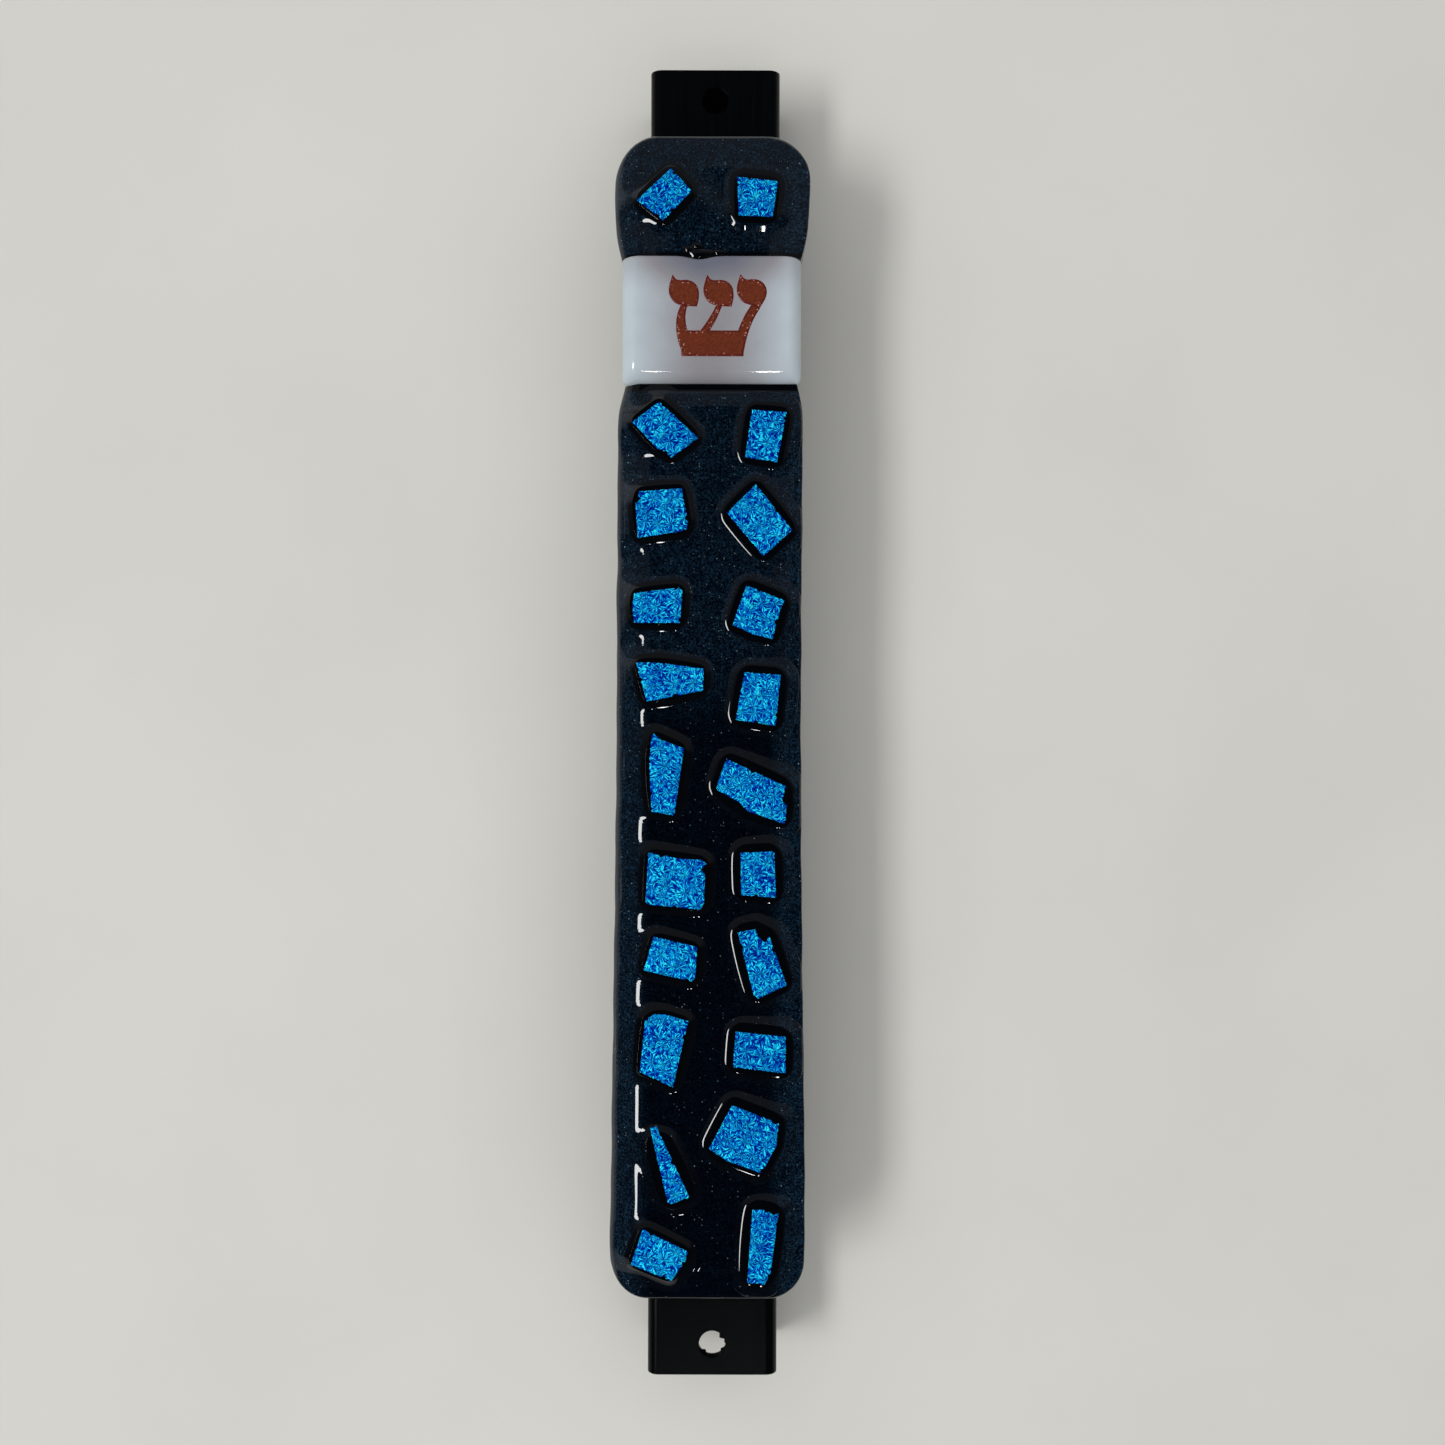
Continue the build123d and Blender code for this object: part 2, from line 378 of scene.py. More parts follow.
@dataclass(frozen=True)
class AventurineGlass(Finish):
    """Navy aventurine glass, fire-polished in the kiln.

    The eye sees near-black glass with a wet gloss, a cloudy navy haze and fine pale flecks hung in it.
    Both are painted thicker towards the rim and the top as painted reflection of the room, and thinnest
    low in the middle, where the dark overhead is reflected.
    """

    name: str = "navy_aventurine_glass_fire_polished"
    roughness: float = 0.03
    ior: float = 1.52
    deep: str = "010206"
    haze: str = "14293A"
    fleck: str = "8FA6AE"
    # the chip mark's black is the chips' own glass, and painted shade beside the band
    black: str = "040508"  # where the chip mark is set
    cloud_mm: float = 1.3  # width of one cloud in the haze
    grain_mm: float = 0.22  # width of the mottle inside a cloud
    fleck_gap_mm: float = 0.3
    centre_x: float = -0.45
    # the rim and upward shares thicken the haze as painted reflection of the room
    rim_mm: Pair = (6.0, 9.8)  # between these distances from the centre line
    rim_haze_and_reflection: float = 0.62  # the haze grows to this
    upward_mm: Pair = (-3.0, 9.0)  # and between these heights
    upward_haze_and_reflection: Pair = (0.09, 0.42)  # from the one of these to the other

    def haze_and_reflection_share(self, add: Adder, place: Node) -> Node:
        """How thick the haze and its painted reflection are at a place: most at the sides and the top,
        least low in the middle.

        It is the larger of two shares, one that grows with the distance from the centre line and
        one that grows with the height.

        Args:
            add: add_node, for the finish's own node tree.
            place: the node that gives the point on the object, in millimetres.

        Returns:
            The node whose output is the haze's share, painted reflection included, from 0 to 1.
        """
        axes = add("SeparateXYZ", (place,)).outputs
        side = add("Math", (axes["X"], self.centre_x), operation="SUBTRACT")
        side = add("Math", (side,), operation="ABSOLUTE")
        rim = (side, *self.rim_mm, 0.0, self.rim_haze_and_reflection)
        upward = (axes["Y"], *self.upward_mm, *self.upward_haze_and_reflection)
        rim, upward = (add("MapRange", span, interpolation_type="SMOOTHSTEP") for span in (rim, upward))
        return add("Math", (rim, upward), operation="MAXIMUM")

    def paint(self, add: Adder, place: Node) -> Links:
        """Mix deep glass, haze and flecks by place, cloud and cell, with the share by place as painted
        reflection, then turn what is marked black.
        """
        # painted reflection: haze and flecks thicken towards the sides and the top, and thin low in the
        # middle
        thick = self.haze_and_reflection_share(add, place)
        cloud = add("TexNoise", {"Vector": place, "Scale": 1 / self.cloud_mm, "Detail": 3.0})
        cloud = add("Math", (cloud, 1.6), operation="MULTIPLY")
        grain = add("TexNoise", {"Vector": place, "Scale": 1 / self.grain_mm, "Detail": 2.0})
        grain = add("Math", (grain, 7.0, -2.8), operation="MULTIPLY_ADD")
        grain = add("Math", (grain, 0.1), operation="MAXIMUM")
        veil = add("Math", (thick, cloud), operation="MULTIPLY")
        veil = add("Math", (veil, grain), operation="MULTIPLY")
        cells = add("TexVoronoi", {"Vector": place, "Scale": 1 / self.fleck_gap_mm}).outputs
        chance = add("SeparateColor", (cells["Color"],)).outputs
        wanted = add("Math", (thick, 0.6, 0.1), operation="MULTIPLY_ADD")
        present = add("Math", (chance[0], wanted), operation="LESS_THAN")
        radius = add("Math", (chance[1], 0.22, 0.1), operation="MULTIPLY_ADD")
        inward = add("Math", (radius, cells["Distance"]), operation="SUBTRACT")
        spot = add("MapRange", (inward, 0.0, 0.1))
        bright = add("Math", (spot, present), operation="MULTIPLY")
        strength = add("Math", (chance[2], 3.0), operation="POWER")
        strength = add("Math", (strength, 0.55), operation="MULTIPLY")
        bright = add("Math", (bright, strength), operation="MULTIPLY")
        # the chip mark: chips' black glass, and painted shade beside the band
        marked = add("Attribute", attribute_name="chip").outputs["Fac"]
        colour = linear(self.deep)
        for share, code in ((veil, self.haze), (bright, self.fleck), (marked, self.black)):
            mix = add("Mix", {"Factor": share, 6: colour, 7: linear(code)}, data_type="RGBA")
            colour = mix.outputs[2]
        return {"Base Color": colour}


@dataclass(frozen=True)
class ChipGlass(AventurineGlass):
    """The black glass under a dichroic coat, melted to a wet-looking mound.

    The eye sees clean black round the coat, with a sharp gloss, and the cap's own flecked glass
    where the mound runs out. The chip mark on the mesh tells the two apart.
    """

    name: str = "black_chip_glass_fire_polished"


@dataclass(frozen=True)
class DichroicCoat(Finish):
    """A vacuum-laid dichroic film on crinkled glass.

    The eye sees bright metallic blue broken into frost-like fans of short needles, some deep and some
    cyan, with a few near-white glints that are painted highlights in its colour.
    """

    name: str = "blue_dichroic_coat_crinkled"
    roughness: float = 0.34
    metallic: float = 0.26
    specular: float = 0.0
    # the film's colours from its hollows to its painted glints, by how bright the pattern is: deep blue
    # to cyan, and near-white painted highlights at the top
    colours: Stops = (
        (0.16, "001E88"), (0.38, "0054C6"), (0.56, "0078DE"), (0.82, "00B2FF"), (1.0, "2CF4FF"),
    )
    fan_mm: float = 1.0  # width of one fan of needles
    needle_mm: float = 0.45  # length of one needle
    needles: float = 7.0  # how many needles there are to a radian of a fan
    drift: float = 0.25  # how far a slow noise bends the fans out of line
    patch_mm: float = 1 / 0.7  # width of a slow patch of deep blue or cyan
    crinkle_mm: float = 0.06

    def fans(self, add: Adder, place: Node) -> tuple[Node, Socket]:
        """Needles fanned out round the middle of each cell.

        Each point's turn round its cell's middle and its distance from it are the two
        coordinates of a noise, so the noise's blobs are drawn out along the rays.

        Args:
            add: add_node, for the finish's own node tree.
            place: the node that gives the point on the object, in millimetres.

        Returns:
            The needles, about 0.5 on the whole, and a random number that is the same over a cell.
        """
        flat = add("Mapping", {"Vector": place, "Scale": (1 / self.fan_mm, 1 / self.fan_mm, 0.0)})
        drift = add("TexNoise", {"Vector": flat, "Scale": 2.0}).outputs["Color"]
        bent = add("Mix", {"Factor": self.drift, 4: flat, 5: drift}, data_type="VECTOR").outputs[1]
        cells = add("TexVoronoi", {"Vector": bent, "Scale": 1.0}, voronoi_dimensions="2D").outputs
        ray = add("VectorMath", (bent, cells["Position"]), operation="SUBTRACT")
        axes = add("SeparateXYZ", (ray,)).outputs
        turn = add("Math", (axes["Y"], axes["X"]), operation="ARCTAN2")
        away = add("VectorMath", (ray,), operation="LENGTH").outputs["Value"]
        cell = add("SeparateColor", (cells["Color"],)).outputs[0]
        gains = ((turn, self.needles), (away, self.fan_mm / self.needle_mm), (cell, 40.0))
        fan = add("CombineXYZ", tuple(add("Math", gain, operation="MULTIPLY") for gain in gains))
        return add("TexNoise", {"Vector": fan, "Scale": 1.0, "Detail": 1.0}), cell

    def paint(self, add: Adder, place: Node) -> Links:
        """Colour and tilt the film by its needles, on slow patches of deep blue and cyan; the brightest
        needles are painted glints.
        """
        needles, cell = self.fans(add, place)
        patch = add("TexNoise", {"Vector": place, "Scale": 1 / self.patch_mm, "Detail": 2.0})
        tone = add("Attribute", attribute_name="tone").outputs["Fac"]
        # the brightest needles reach the ramp's top stop, a painted glint
        mixed = add("Math", (needles, 5.2, -2.24), operation="MULTIPLY_ADD")
        for part, gain, middle in ((patch, 0.7, 0.5), (cell, 0.12, 0.5), (tone, 0.03, 0.0)):
            part = add("Math", (part, gain, -gain * middle), operation="MULTIPLY_ADD")
            mixed = add("Math", (mixed, part), operation="ADD")
        relief = {"Strength": 0.9, "Distance": self.crinkle_mm * MM, "Height": needles}
        return {"Base Color": add("ValToRGB", (mixed,), self.colours), "Normal": add("Bump", relief)}


@dataclass(frozen=True)
class OpalGlass(Finish):
    """White opal glass, fire-polished, a few millimetres thick over dark glass.

    The eye sees a milky, cool white. Its colour is painted palest at the edges as painted light, and
    greyer over the middle and towards the top seam as painted shade, with the dark glass below greying
    it too.
    """

    name: str = "white_opal_glass_fire_polished"
    roughness: float = 0.045
    ior: float = 1.52
    # the whites run from painted light at the edge to painted shade over the middle
    colours: Stops = ((0.0, "BCC8CF"), (0.55, "8C8A8F"), (1.0, "686C78"))  # from edge to middle
    cloud_mm: float = 1 / 0.35  # width of one slow cloud

    def paint(self, add: Adder, place: Node) -> Links:
        """Blend the whites, painted light to painted shade, by the depth mark on the mesh, softened by
        a slow cloud.
        """
        cloud = add("TexNoise", {"Vector": place, "Scale": 1 / self.cloud_mm, "Detail": 3.0})
        cloud = add("Math", (cloud, 0.12, -0.06), operation="MULTIPLY_ADD")
        depth = add("Attribute", attribute_name="depth").outputs["Fac"]
        soft = add("Math", (depth, cloud), operation="ADD")
        return {"Base Color": add("ValToRGB", (soft,), self.colours)}


@dataclass(frozen=True)
class FiredEnamel(Finish):
    """Red-brown enamel, brushed on and fired into the band.

    The eye sees a warm rust brown, a darker red line at the edge with a thin pink halo outside
    it, and pale specks along the line where the enamel is thin.
    """

    name: str = "red_brown_enamel_fired"
    roughness: float = 0.3
    body: Stops = ((0.35, "541E08"), (0.6, "6C290A"))  # from thin enamel to full
    rim: str = "540C08"
    halo: str = "B38680"
    speck: str = "CF9084"
    brush_mm: float = 0.3125  # width of one unevenness along the line
    grain_mm: float = 0.2  # width of one patch of thin enamel
    speck_gap_mm: float = 1 / 3.4
    line_mm: float = 0.24  # the specks lie this far in from the edge

    def paint(self, add: Adder, place: Node) -> Links:
        """Halo, line and body by the mesh's inset mark, in millimetres, and specks between them."""
        inset_mm = add("Attribute", attribute_name="inset").outputs["Fac"]
        brush = add("TexNoise", {"Vector": place, "Scale": 1 / self.brush_mm, "Detail": 4.0})
        brush = add("Math", (brush, 0.3, -0.15), operation="MULTIPLY_ADD")
        uneven = add("Math", (inset_mm, brush), operation="ADD")
        grain = add("TexNoise", {"Vector": place, "Scale": 1 / self.grain_mm, "Detail": 2.0})
        cells = add("TexVoronoi", {"Vector": place, "Scale": 1 / self.speck_gap_mm}).outputs
        chance = add("SeparateColor", (cells["Color"],)).outputs
        off_line = add("Math", (inset_mm, self.line_mm), operation="SUBTRACT")
        off_line = add("Math", (off_line,), operation="ABSOLUTE")
        near_line = add("MapRange", (off_line, self.line_mm, 0.08))
        often = add("Math", (chance[1], 0.5), operation="GREATER_THAN")
        shown = add("MapRange", (cells["Distance"], 0.4, 0.15, 0.0, 0.8))
        for part in (near_line, often):
            shown = add("Math", (shown, part), operation="MULTIPLY")
        colour = linear(self.rim)
        for share, over in (
            (add("MapRange", (uneven, 0.1, 0.3)), add("ValToRGB", (grain,), self.body)),
            (add("MapRange", (inset_mm, 0.03, -0.04)), linear(self.halo)),
            (shown, linear(self.speck)),
        ):
            colour = add("Mix", {"Factor": share, 6: colour, 7: over}, data_type="RGBA").outputs[2]
        return {"Base Color": colour}


@dataclass(frozen=True)
class SatinPlastic(Finish):
    """Black extruded plastic, with a satin skin and sawn ends.

    The eye sees a soft black with faint streaks along the extrusion, and fine saw lines across
    the two cut ends.
    """

    name: str = "black_plastic_extruded_satin"
    roughness: float = 0.26
    ior: float = 1.49
    specular: float = 0.1
    colours: Stops = ((0.35, "010203"), (0.7, "040506"))
    streak: tuple[float, float, float] = (2.6, 0.06, 2.6)  # streaks to a millimetre, by axis
    saw_line_mm: float = 0.35
    end_y: float = 79.9

    def paint(self, add: Adder, place: Node) -> Links:
        """Streak the skin along Y, and cut saw lines where the piece ends."""
        along = add("Mapping", {"Vector": place, "Scale": self.streak})
        streaks = add("TexNoise", {"Vector": along, "Scale": 1.0, "Detail": 4.0})
        axes = add("SeparateXYZ", (place,)).outputs
        at_end = add("Math", (axes["Y"],), operation="ABSOLUTE")
        at_end = add("Math", (at_end, self.end_y), operation="GREATER_THAN")
        lines = {"Vector": place, "Scale": 0.31 / self.saw_line_mm, "Distortion": 1.2}
        saw = add("TexWave", lines, bands_direction="DIAGONAL").outputs["Fac"]
        saw = add("Math", (saw, at_end), operation="MULTIPLY")
        skin = add("TexNoise", {"Vector": place, "Scale": 9.0, "Detail": 2.0})
        skin = add("Math", (skin, 0.25), operation="MULTIPLY")
        height = add("Math", (saw, skin), operation="ADD")
        relief = add("Bump", {"Strength": 0.5, "Distance": 0.03 * MM, "Height": height})
        return {"Base Color": add("ValToRGB", (streaks,), self.colours), "Normal": relief}


@dataclass(frozen=True)
class FoamTape(Finish):
    """Black acrylic foam tape, slit to width.

    The eye sees a dead matt black with a fine closed-cell grain.
    """

    name: str = "black_foam_tape_slit"
    roughness: float = 0.95
    colours: Stops = ((0.1, "060606"), (0.8, "141414"))
    cell_mm: float = 0.25

    def paint(self, add: Adder, place: Node) -> Links:
        """Grain from small cells, in colour and in relief."""
        cells = add("TexVoronoi", {"Vector": place, "Scale": 1 / self.cell_mm})
        relief = add("Bump", {"Strength": 0.6, "Distance": 0.08 * MM, "Height": cells})
        return {"Base Color": add("ValToRGB", (cells,), self.colours), "Normal": relief}


@dataclass(frozen=True)
class ParchmentSkin(Finish):
    """Scraped parchment, rolled up.

    The eye sees warm cream with mottled follicle grain and slow darker clouds.
    """

    name: str = "cream_parchment_scraped"
    roughness: float = 0.62
    colours: Stops = ((0.35, "E3D6B4"), (0.75, "C9B588"))
    cloud_mm: float = 4.0

    def paint(self, add: Adder, place: Node) -> Links:
        """Clouds for colour and follicles for relief."""
        clouds = add("TexNoise", {"Vector": place, "Scale": 1 / self.cloud_mm, "Detail": 6.0})
        follicles = add("TexVoronoi", {"Vector": place, "Scale": 3.5})
        relief = add("Bump", {"Strength": 0.35, "Distance": 0.04 * MM, "Height": follicles})
        return {"Base Color": add("ValToRGB", (clouds,), self.colours), "Normal": relief}


@dataclass(frozen=True)
class ClearPlastic(Finish):
    """Clear extruded plastic tube.

    The eye sees through it, with sharp streaks of reflection and a faint grey-blue cast.
    """

    name: str = "clear_plastic_tube_extruded"
    roughness: float = 0.05
    ior: float = 1.49
    transmission: float = 1.0
    colours: Stops = ((0.3, "EEF4F6"), (0.8, "DCE6EA"))
    draw: tuple[float, float, float] = (1.5, 0.03, 1.5)  # draw lines to a millimetre, by axis

    def paint(self, add: Adder, place: Node) -> Links:
        """Vary the tint along the draw lines."""
        along = add("Mapping", {"Vector": place, "Scale": self.draw})
        lines = add("TexNoise", {"Vector": along, "Scale": 1.0, "Detail": 2.0})
        return {"Base Color": add("ValToRGB", (lines,), self.colours)}


@dataclass(frozen=True)
class PaleTable(Finish):
    """A plain table top in matt off-white laminate.

    The eye sees an even pale grey with the faintest cloud in it.
    """

    name: str = "off_white_laminate_matt"
    roughness: float = 0.8
    colours: Stops = ((0.3, "D3D2CC"), (0.7, "CDCCC6"))
    cloud_mm: float = 50.0

    def paint(self, add: Adder, place: Node) -> Links:
        """One slow cloud."""
        cloud = add("TexNoise", {"Vector": place, "Scale": 1 / self.cloud_mm, "Detail": 4.0})
        return {"Base Color": add("ValToRGB", (cloud,), self.colours)}


# ---------------------------------------------------------------- fused glass


@dataclass(frozen=True)
class GlassPlan:
    """The outline of the fused glass from the front: a long slab drawn in at the band."""

    spine: tuple[Pair, Pair]  # two points of the centre line
    low_y: float
    high_y: float
    foot_r: float = 4.5  # radius of the two lower corners
    head_r: float = 5.2  # and of the two upper ones
    # half widths on the way up, in pairs of height and half width
    widths: tuple[Pair, ...] = (
        (-69.0, 11.42), (-61.0, 11.58), (-40.0, 11.40), (-20.0, 11.22), (0.0, 11.10), (20.0, 11.10),
        (34.0, 11.10), (36.6, 10.97), (38.2, 10.72), (39.4, 10.42), (40.4, 10.20), (53.8, 10.45),
        (55.3, 10.90), (57.7, 11.37), (60.1, 11.56), (62.5, 11.60), (66.0, 11.50), (71.0, 11.42),
    )
    soften: float = 0.7  # the corners of that line are averaged over this much, each way
    wobble: float = 0.1  # height of the waves in the sides
    hollow: float = 0.3  # the right side is drawn in by this much
    hollow_y: Pair = (8.0, 55.0)  # most at this height, and over this much each way
    crowd: float = 4.0  # a grid's rows are closer together within this much of each end

    def middle(self, y: Array) -> Array:
        """The centre line's x at a height: the straight line through the two spine points."""
        (x0, y0), (x1, y1) = self.spine
        return x0 + (x1 - x0) * (y - y0) / (y1 - y0)

    def half(self, y: Array, side: Array | float) -> Array:
        """Half width at a height, before the end corners are rounded.

        The widths above, joined by straight lines and averaged over five nearby heights, less a
        wave of two sines that differs from side to side. A parabola draws the right side in.

        Args:
            y: heights.
            side: -1 for the left side and 1 for the right, or numbers of those signs.

        Returns:
            Half widths, of y's shape.
        """
        knots, values = np.array(self.widths).T
        around = [np.interp(y + k * self.soften, knots, values) for k in (-1, -0.5, 0, 0.5, 1)]
        phase = 1.7 * np.sign(side)
        wave = 2 + np.sin(0.42 * y + phase) + np.sin(0.91 * y - 2 * phase)
        middle, spread = self.hollow_y
        drawn = self.hollow * np.clip(1 - ((y - middle) / spread) ** 2, 0, 1) * (np.sign(side) > 0)
        return np.mean(around, axis=0) - self.wobble * wave / 4 - drawn

    def cut_in(self, y: Array) -> Array:
        """How much the rounded corners take off the half width: r - root(r^2 - (r - depth)^2)."""
        taken = np.zeros_like(y)
        for depth, r in ((y - self.low_y, self.foot_r), (self.high_y - y, self.head_r)):
            inside = np.clip(r - depth, 0, r)
            taken = taken + r - np.sqrt(r * r - inside * inside)
        return taken

    def rows(self, low: float, high: float, step: float) -> Array:
        """Heights from low to high, this step apart, and crowded like a cosine near each end."""
        near = self.crowd * (1 - np.cos(np.linspace(0, math.pi / 2, 28)))
        even = round((high - low - 2 * self.crowd) / step)
        middle = np.linspace(low + self.crowd, high - self.crowd, even)
        return np.concatenate([low + near[:-1], middle, (high - near)[::-1][1:]])

    def outline(self, step: float) -> Array:
        """The whole outline as a closed anticlockwise line, one x, y a row."""
        y = self.rows(self.low_y, self.high_y, step)
        right = np.column_stack([self.middle(y) + self.half(y, 1) - self.cut_in(y), y])
        left = np.column_stack([self.middle(y) - self.half(y, -1) + self.cut_in(y), y])
        return np.vstack([right, left[::-1]])


@dataclass(frozen=True)
class MoundForm:
    """How a chip's mound falls away from its coat."""

    level: float  # it stays level this far past the coat
    wide: float  # then bends down as a quarter of an ellipse of this width
    tall: float  # and this height
    last: float  # up to this share of the width, and goes on straight from there
    crease: float  # how softly it meets the glass around it, or 0 for a hard crease


BLUNT_MOUND = MoundForm(level=0.25, wide=1.3, tall=0.55, last=0.73, crease=0.0)
SHARP_MOUND = MoundForm(level=0.3, wide=0.008, tall=0.008, last=0.6, crease=0.65)
SPREAD_MOUND = MoundForm(level=0.95, wide=0.008, tall=0.008, last=0.6, crease=0.65)


def form_of(chip: str) -> MoundForm:
    """Blunt on the right, sharp on the left, and one mound that spreads wider than the others."""
    if chip == "left_9":
        return SPREAD_MOUND
    return BLUNT_MOUND if "right" in chip else SHARP_MOUND


@dataclass
class Chip:
    """One nipped chip: its coat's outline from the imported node, and the mound around it."""

    name: str
    lift: float = 0.15  # the mound lies this much higher up the case than its coat
    bulge: float = 0.2  # how much the mound's outline swells between its corners
    reach: float = 3.0  # the mound has always run out into the glass around it by here
    core_in: float = 0.6  # the mound's corners are rounded by this much over the coat's
    core_share: float = 0.7  # or by this share of the way to the middle, on a narrow chip
    under: float = 0.02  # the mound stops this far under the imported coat
    margin: float = 1.0  # its mean radius is this much over the hull's

    def __post_init__(self) -> None:
        """Read the coat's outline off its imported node, and find the hull and the core in it."""
        self.form = form_of(self.name)
        self.corners = self.read_outline()
        picked = geometry.convex_hull_2d([Vector(c) for c in self.corners])
        self.hull = self.corners[picked]
        if self.turn(self.hull) < 0:
            self.hull = self.hull[::-1]
        self.top_z = box_mm(f"coat_{self.name}")[0][2] - self.under
        self.middle = along_loop(self.corners, 0.1).mean(0)
        ring = along_loop(self.hull, 0.25)
        centre = ring.mean(0)
        self.core_in = min(self.core_in, self.core_share * float(inset(*centre, self.hull)))
        length = np.linalg.norm(ring - centre, axis=1)
        unit = (ring - centre) / length[:, None]
        inner = self.ray_lengths(
            lambda x, y: -inset(x, y, self.hull), centre, unit, length, -self.core_in
        )
        self.core = centre + inner[:, None] * unit
        self.mean_r = length.mean() + self.margin

    @staticmethod
    def ray_lengths(
        measure: Measure, middle: Array, unit: Array, far: Array, offsets: Array | float
    ) -> Array:
        """How far out a measure reaches some offsets along rays, found by halving.

        Args:
            measure: a function of x and y that grows outwards.
            middle: where the rays start.
            unit: their directions.
            far: how far out to look along each.
            offsets: the wanted values, one per ray, or rows of such.

        Returns:
            Lengths, of the offsets' shape.
        """
        far = np.broadcast_to(far, np.broadcast_shapes(np.shape(offsets), far.shape))
        near = np.zeros(far.shape)
        for _ in range(18):
            half = (near + far) / 2
            at = middle + half[..., None] * unit
            out = measure(at[..., 0], at[..., 1]) > offsets
            near, far = np.where(out, near, half), np.where(out, half, far)
        return (near + far) / 2

    @staticmethod
    def turn(loop: Array) -> float:
        """Twice the signed area of a closed line, positive if it runs anticlockwise."""
        x, y = loop.T
        return float(np.sum(x * np.roll(y, -1) - y * np.roll(x, -1)))

    def read_outline(self) -> Array:
        """The outline of the coat's top face, anticlockwise.

        The face is loose triangles, so the outline is made of the sides that only one has.
        """
        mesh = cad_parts[f"coat_{self.name}"].data
        points = [tuple(round(c / MM, 3) for c in v.co) for v in mesh.vertices]
        top = max(p[2] for p in points)
        sides = set()
        for face in mesh.polygons:
            loop = [points[i] for i in face.vertices]
            if all(p[2] == top for p in loop):
                sides |= {(a[:2], b[:2]) for a, b in zip(loop, loop[1:] + loop[:1])}
        onward = {a: b for a, b in sides if (b, a) not in sides}
        at = min(onward)
        line = []
        while at in onward:
            line.append(at)
            at = onward.pop(at)
        outline = np.array(line)
        return outline if self.turn(outline) > 0 else outline[::-1]

    def distance(self, x: Array, y: Array) -> Array:
        """Distance from points to the mound's own outline, negative inside it.

        The outline is the core, grown by as much as the core was drawn in from the hull, and
        lifted. Its swelling between corners comes from adding bulge (q^2 - 1), where q is the
        distance from the middle over the outline's mean radius.
        """
        y = y - self.lift
        away = np.hypot(x - self.middle[0], y - self.middle[1]) / self.mean_r
        return -inset(x, y, self.core) - self.core_in + self.bulge * (away ** 2 - 1)

    def near(self, x: Array, y: Array) -> Array:
        """Which points are close enough to feel the mound."""
        low, high = self.hull.min(0) - self.reach, self.hull.max(0) + self.reach
        return (x > low[0]) & (x < high[0]) & (y > low[1]) & (y < high[1])

    def drop(self, out: Array) -> Array:
        """How far the mound has fallen at a distance out from the coat.

        It stays level at first, then follows an ellipse, h - h root(1 - s^2) with s the share of
        the width, and past the last share goes on straight at the slope it has there.
        """
        form = self.form
        s = np.clip(out - form.level, 0, None) / form.wide
        bent = np.minimum(s, form.last)
        slope = form.last / math.sqrt(1 - form.last ** 2)
        return form.tall * (1 - np.sqrt(1 - bent ** 2) + slope * (s - bent))


